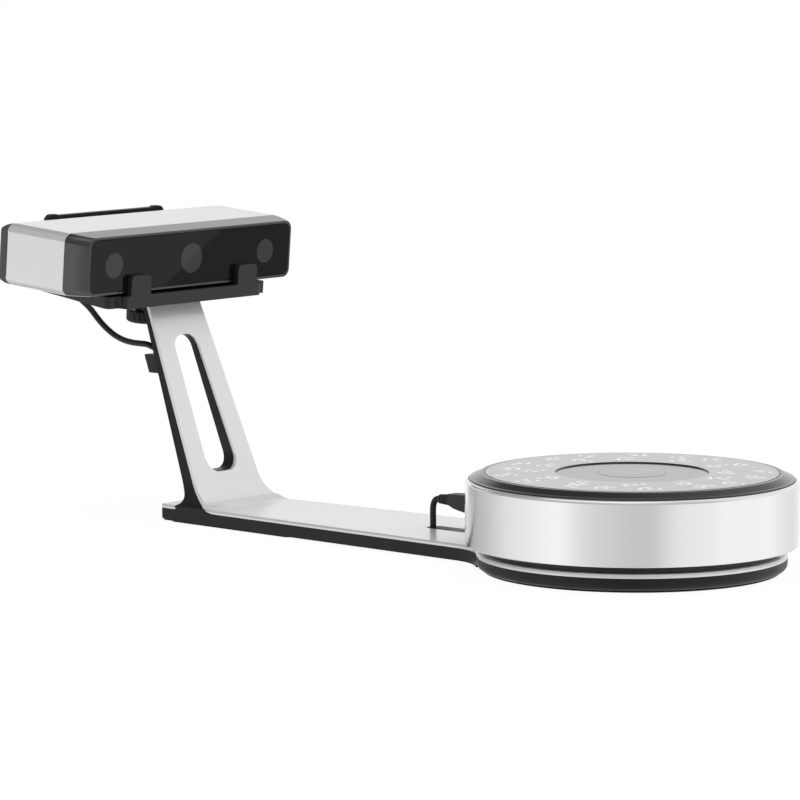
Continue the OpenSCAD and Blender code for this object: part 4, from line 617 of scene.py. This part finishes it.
# the room that the object mirrors: brightness by bearing from the camera's side, in degrees, below the horizon, low
# above it and high up, and the heights between which one goes over into the next
studio = {"bearing": 52, "most": 1.4,
          "below": [(-180, 1.0), (-156, 1.0), (-151, 0.42), (-140, 0.48), (-117, 0.68), (-95, 1.0), (-51, 1.28),
                    (-28, 0.86), (0, 0.68), (14, 0.68), (33, 1.05), (60, 1.14), (64, 1.20), (112, 1.20), (118, 1.10),
                    (143, 0.88), (180, 1.0)],
          "low": [(-180, 1.0), (-130, 1.0), (-115, 0.35), (-60, 0.45), (60, 0.55), (80, 1.0), (180, 1.0)],
          "high": [(-180, 0.45), (-160, 0.25), (-130, 0.25), (-60, 0.6), (60, 0.6), (90, 1.0), (150, 0.95),
                   (180, 0.45)],
          "horizon": (-0.03, 0.03), "rise": (0.36, 0.52)}


def bearingRamp(tree, share, stops):
    ramp = tree.nodes.new("ShaderNodeValToRGB")
    marks = ramp.color_ramp.elements
    while len(marks) < len(stops):
        marks.new(0.5)
    for mark, (degrees, level) in zip(marks, stops):
        mark.position = (degrees + 180) / 360
        mark.color = shaded(3 * [level], 1 / studio["most"])
    tree.links.new(share, ramp.inputs["Fac"])
    return ramp.outputs["Color"]


# white where the camera looks past the object, the room's light and reflections for everything else
def makeWorld():
    world = bpy.data.worlds.new("studio")
    scene.world = world
    world.use_nodes = True
    tree = world.node_tree
    tree.nodes.clear()
    coords = tree.nodes.new("ShaderNodeTexCoord")
    turn = tree.nodes.new("ShaderNodeVectorRotate")
    turn.rotation_type = "Z_AXIS"
    turn.inputs["Angle"].default_value = math.radians(studio["bearing"])
    tree.links.new(coords.outputs["Generated"], turn.inputs["Vector"])
    parts = tree.nodes.new("ShaderNodeSeparateXYZ")
    tree.links.new(turn.outputs["Vector"], parts.inputs["Vector"])
    share = spread(tree, addMath(tree, "ARCTAN2", parts.outputs["Y"], parts.outputs["X"]), 0, 1, -math.pi, math.pi)
    light = bearingRamp(tree, share, studio["below"])
    for level, heights in (("low", "horizon"), ("high", "rise")):
        above = spread(tree, parts.outputs["Z"], 0, 1, *studio[heights])
        light = blendColours(tree, above, light, bearingRamp(tree, share, studio[level]))
    glow = tree.nodes.new("ShaderNodeBackground")
    glow.inputs["Strength"].default_value = studio["most"]
    tree.links.new(light, glow.inputs["Color"])
    white = tree.nodes.new("ShaderNodeBackground")
    white.inputs["Color"].default_value = (1, 1, 1, 1)
    path = tree.nodes.new("ShaderNodeLightPath")
    seen = addMath(tree, "MAXIMUM", path.outputs["Is Camera Ray"], path.outputs["Is Transmission Ray"])
    out = tree.nodes.new("ShaderNodeOutputWorld")
    tree.links.new(mixShaders(tree, seen, glow.outputs["Background"], white.outputs["Background"]),
                   out.inputs["Surface"])


# an empty material, with the socket that takes its shader
def stageMaterial(name):
    mat = bpy.data.materials.new(name)
    mat.use_nodes = True
    tree = mat.node_tree
    tree.nodes.clear()
    return mat, tree, tree.nodes.new("ShaderNodeOutputMaterial").inputs["Surface"]


def addGlow(tree, strength):
    glow = tree.nodes.new("ShaderNodeEmission")
    glow.inputs["Strength"].default_value = strength
    return glow.outputs["Emission"]


# a flat square of the stage, one metre wide before its place is applied
def stageSheet(name, place, mat):
    bm = bmesh.new()
    bmesh.ops.create_grid(bm, x_segments=1, y_segments=1, size=0.5, matrix=place)
    mesh = bpy.data.meshes.new(name)
    bm.to_mesh(mesh)
    bm.free()
    mesh.materials.append(mat)
    sheet = bpy.data.objects.new(name, mesh)
    scene.collection.objects.link(sheet)
    return sheet


# metres, except the paint's grey, the glow's strength and the share of white that the camera sees
floorLook = {"width": 12, "drop": 0.0002, "paint": 0.8, "glow": 1.05, "white": 0.9}


# the floor is white to the camera and keeps the object's shadow; reflections see the room through it
def makeFloor():
    look = floorLook
    mat, tree, out = stageMaterial("floorWhite")
    paint = tree.nodes.new("ShaderNodeBsdfDiffuse")
    paint.inputs["Color"].default_value = shaded(3 * [look["paint"]])
    path = tree.nodes.new("ShaderNodeLightPath")
    share = addMath(tree, "MULTIPLY", path.outputs["Is Camera Ray"], look["white"])
    tree.links.new(mixShaders(tree, share, paint.outputs["BSDF"], addGlow(tree, look["glow"])), out)
    place = Matrix.Translation((0, 0, -look["drop"])) @ Matrix.Diagonal((look["width"], look["width"], 1, 1))
    stageSheet("floor", place, mat).visible_glossy = False


# two glowing cards, no lamps and seen only in reflections, lie beyond the turntable and paint a reflection into the
# front glass, a slanting edge between two greys; metres and degrees, and only what is further off than the reach sees
# a card, so the drum beside them doesn't
cardLook = {"turn": 56.7, "width": 0.12, "height": 0.0005, "reach": 0.7}
glowCards = [{"name": "darkGlowCard", "centre": (0.2108, 0.7596), "length": 0.455, "level": 0.25},
             {"name": "paleGlowCard", "centre": (0.2494, 0.5998), "length": 0.48, "level": 0.45}]


def makeGlowCard(card):
    mat, tree, out = stageMaterial(card["name"])
    path = tree.nodes.new("ShaderNodeLightPath")
    far = addMath(tree, "GREATER_THAN", path.outputs["Ray Length"], cardLook["reach"])
    clear = tree.nodes.new("ShaderNodeBsdfTransparent")
    # the card glows at its level instead of being lit: a painted reflection, clear to nearer rays
    tree.links.new(mixShaders(tree, far, clear.outputs["BSDF"], addGlow(tree, card["level"])), out)
    place = (Matrix.Translation((*card["centre"], cardLook["height"]))
             @ Matrix.Rotation(math.radians(cardLook["turn"]), 4, "Z")
             @ Matrix.Diagonal((card["length"], cardLook["width"], 1, 1)))
    sheet = stageSheet(card["name"], place, mat)
    sheet.visible_camera = sheet.visible_diffuse = sheet.visible_transmission = sheet.visible_shadow = False


# soft lamps: metres and watts; those not mirrored light the object without a highlight on it
lamps = [
    {"name": "topSoftbox", "place": (-0.2, -0.6, 2.4), "aim": (-0.15, 0, 0.08), "size": (2.4, 1.6), "power": 9,
     "mirrored": True},
    {"name": "leftSoftbox", "place": (-2.0, -1.6, 1.2), "aim": (-0.2, 0, 0.1), "size": (1.4, 1.6), "power": 8,
     "mirrored": False},
    {"name": "rightSoftbox", "place": (2.3, -0.9, 0.4), "aim": (-0.1, 0, 0.05), "size": (1.2, 0.7), "power": 7,
     "mirrored": False},
]


def makeLamp(lamp):
    data = bpy.data.lights.new(lamp["name"], "AREA")
    data.shape = "RECTANGLE"
    data.size, data.size_y = lamp["size"]
    data.energy = lamp["power"]
    obj = bpy.data.objects.new(lamp["name"], data)
    obj.visible_glossy = lamp["mirrored"]
    place = Vector(lamp["place"])
    facing = (Vector(lamp["aim"]) - place).to_track_quat("-Z", "Y")
    obj.matrix_world = Matrix.Translation(place) @ facing.to_matrix().to_4x4()
    scene.collection.objects.link(obj)


makeWorld()
makeFloor()
for card in glowCards:
    makeGlowCard(card)
for lamp in lamps:
    makeLamp(lamp)
scene.view_settings.view_transform = "Standard"
print("studio made")

bpy.context.view_layer.update()
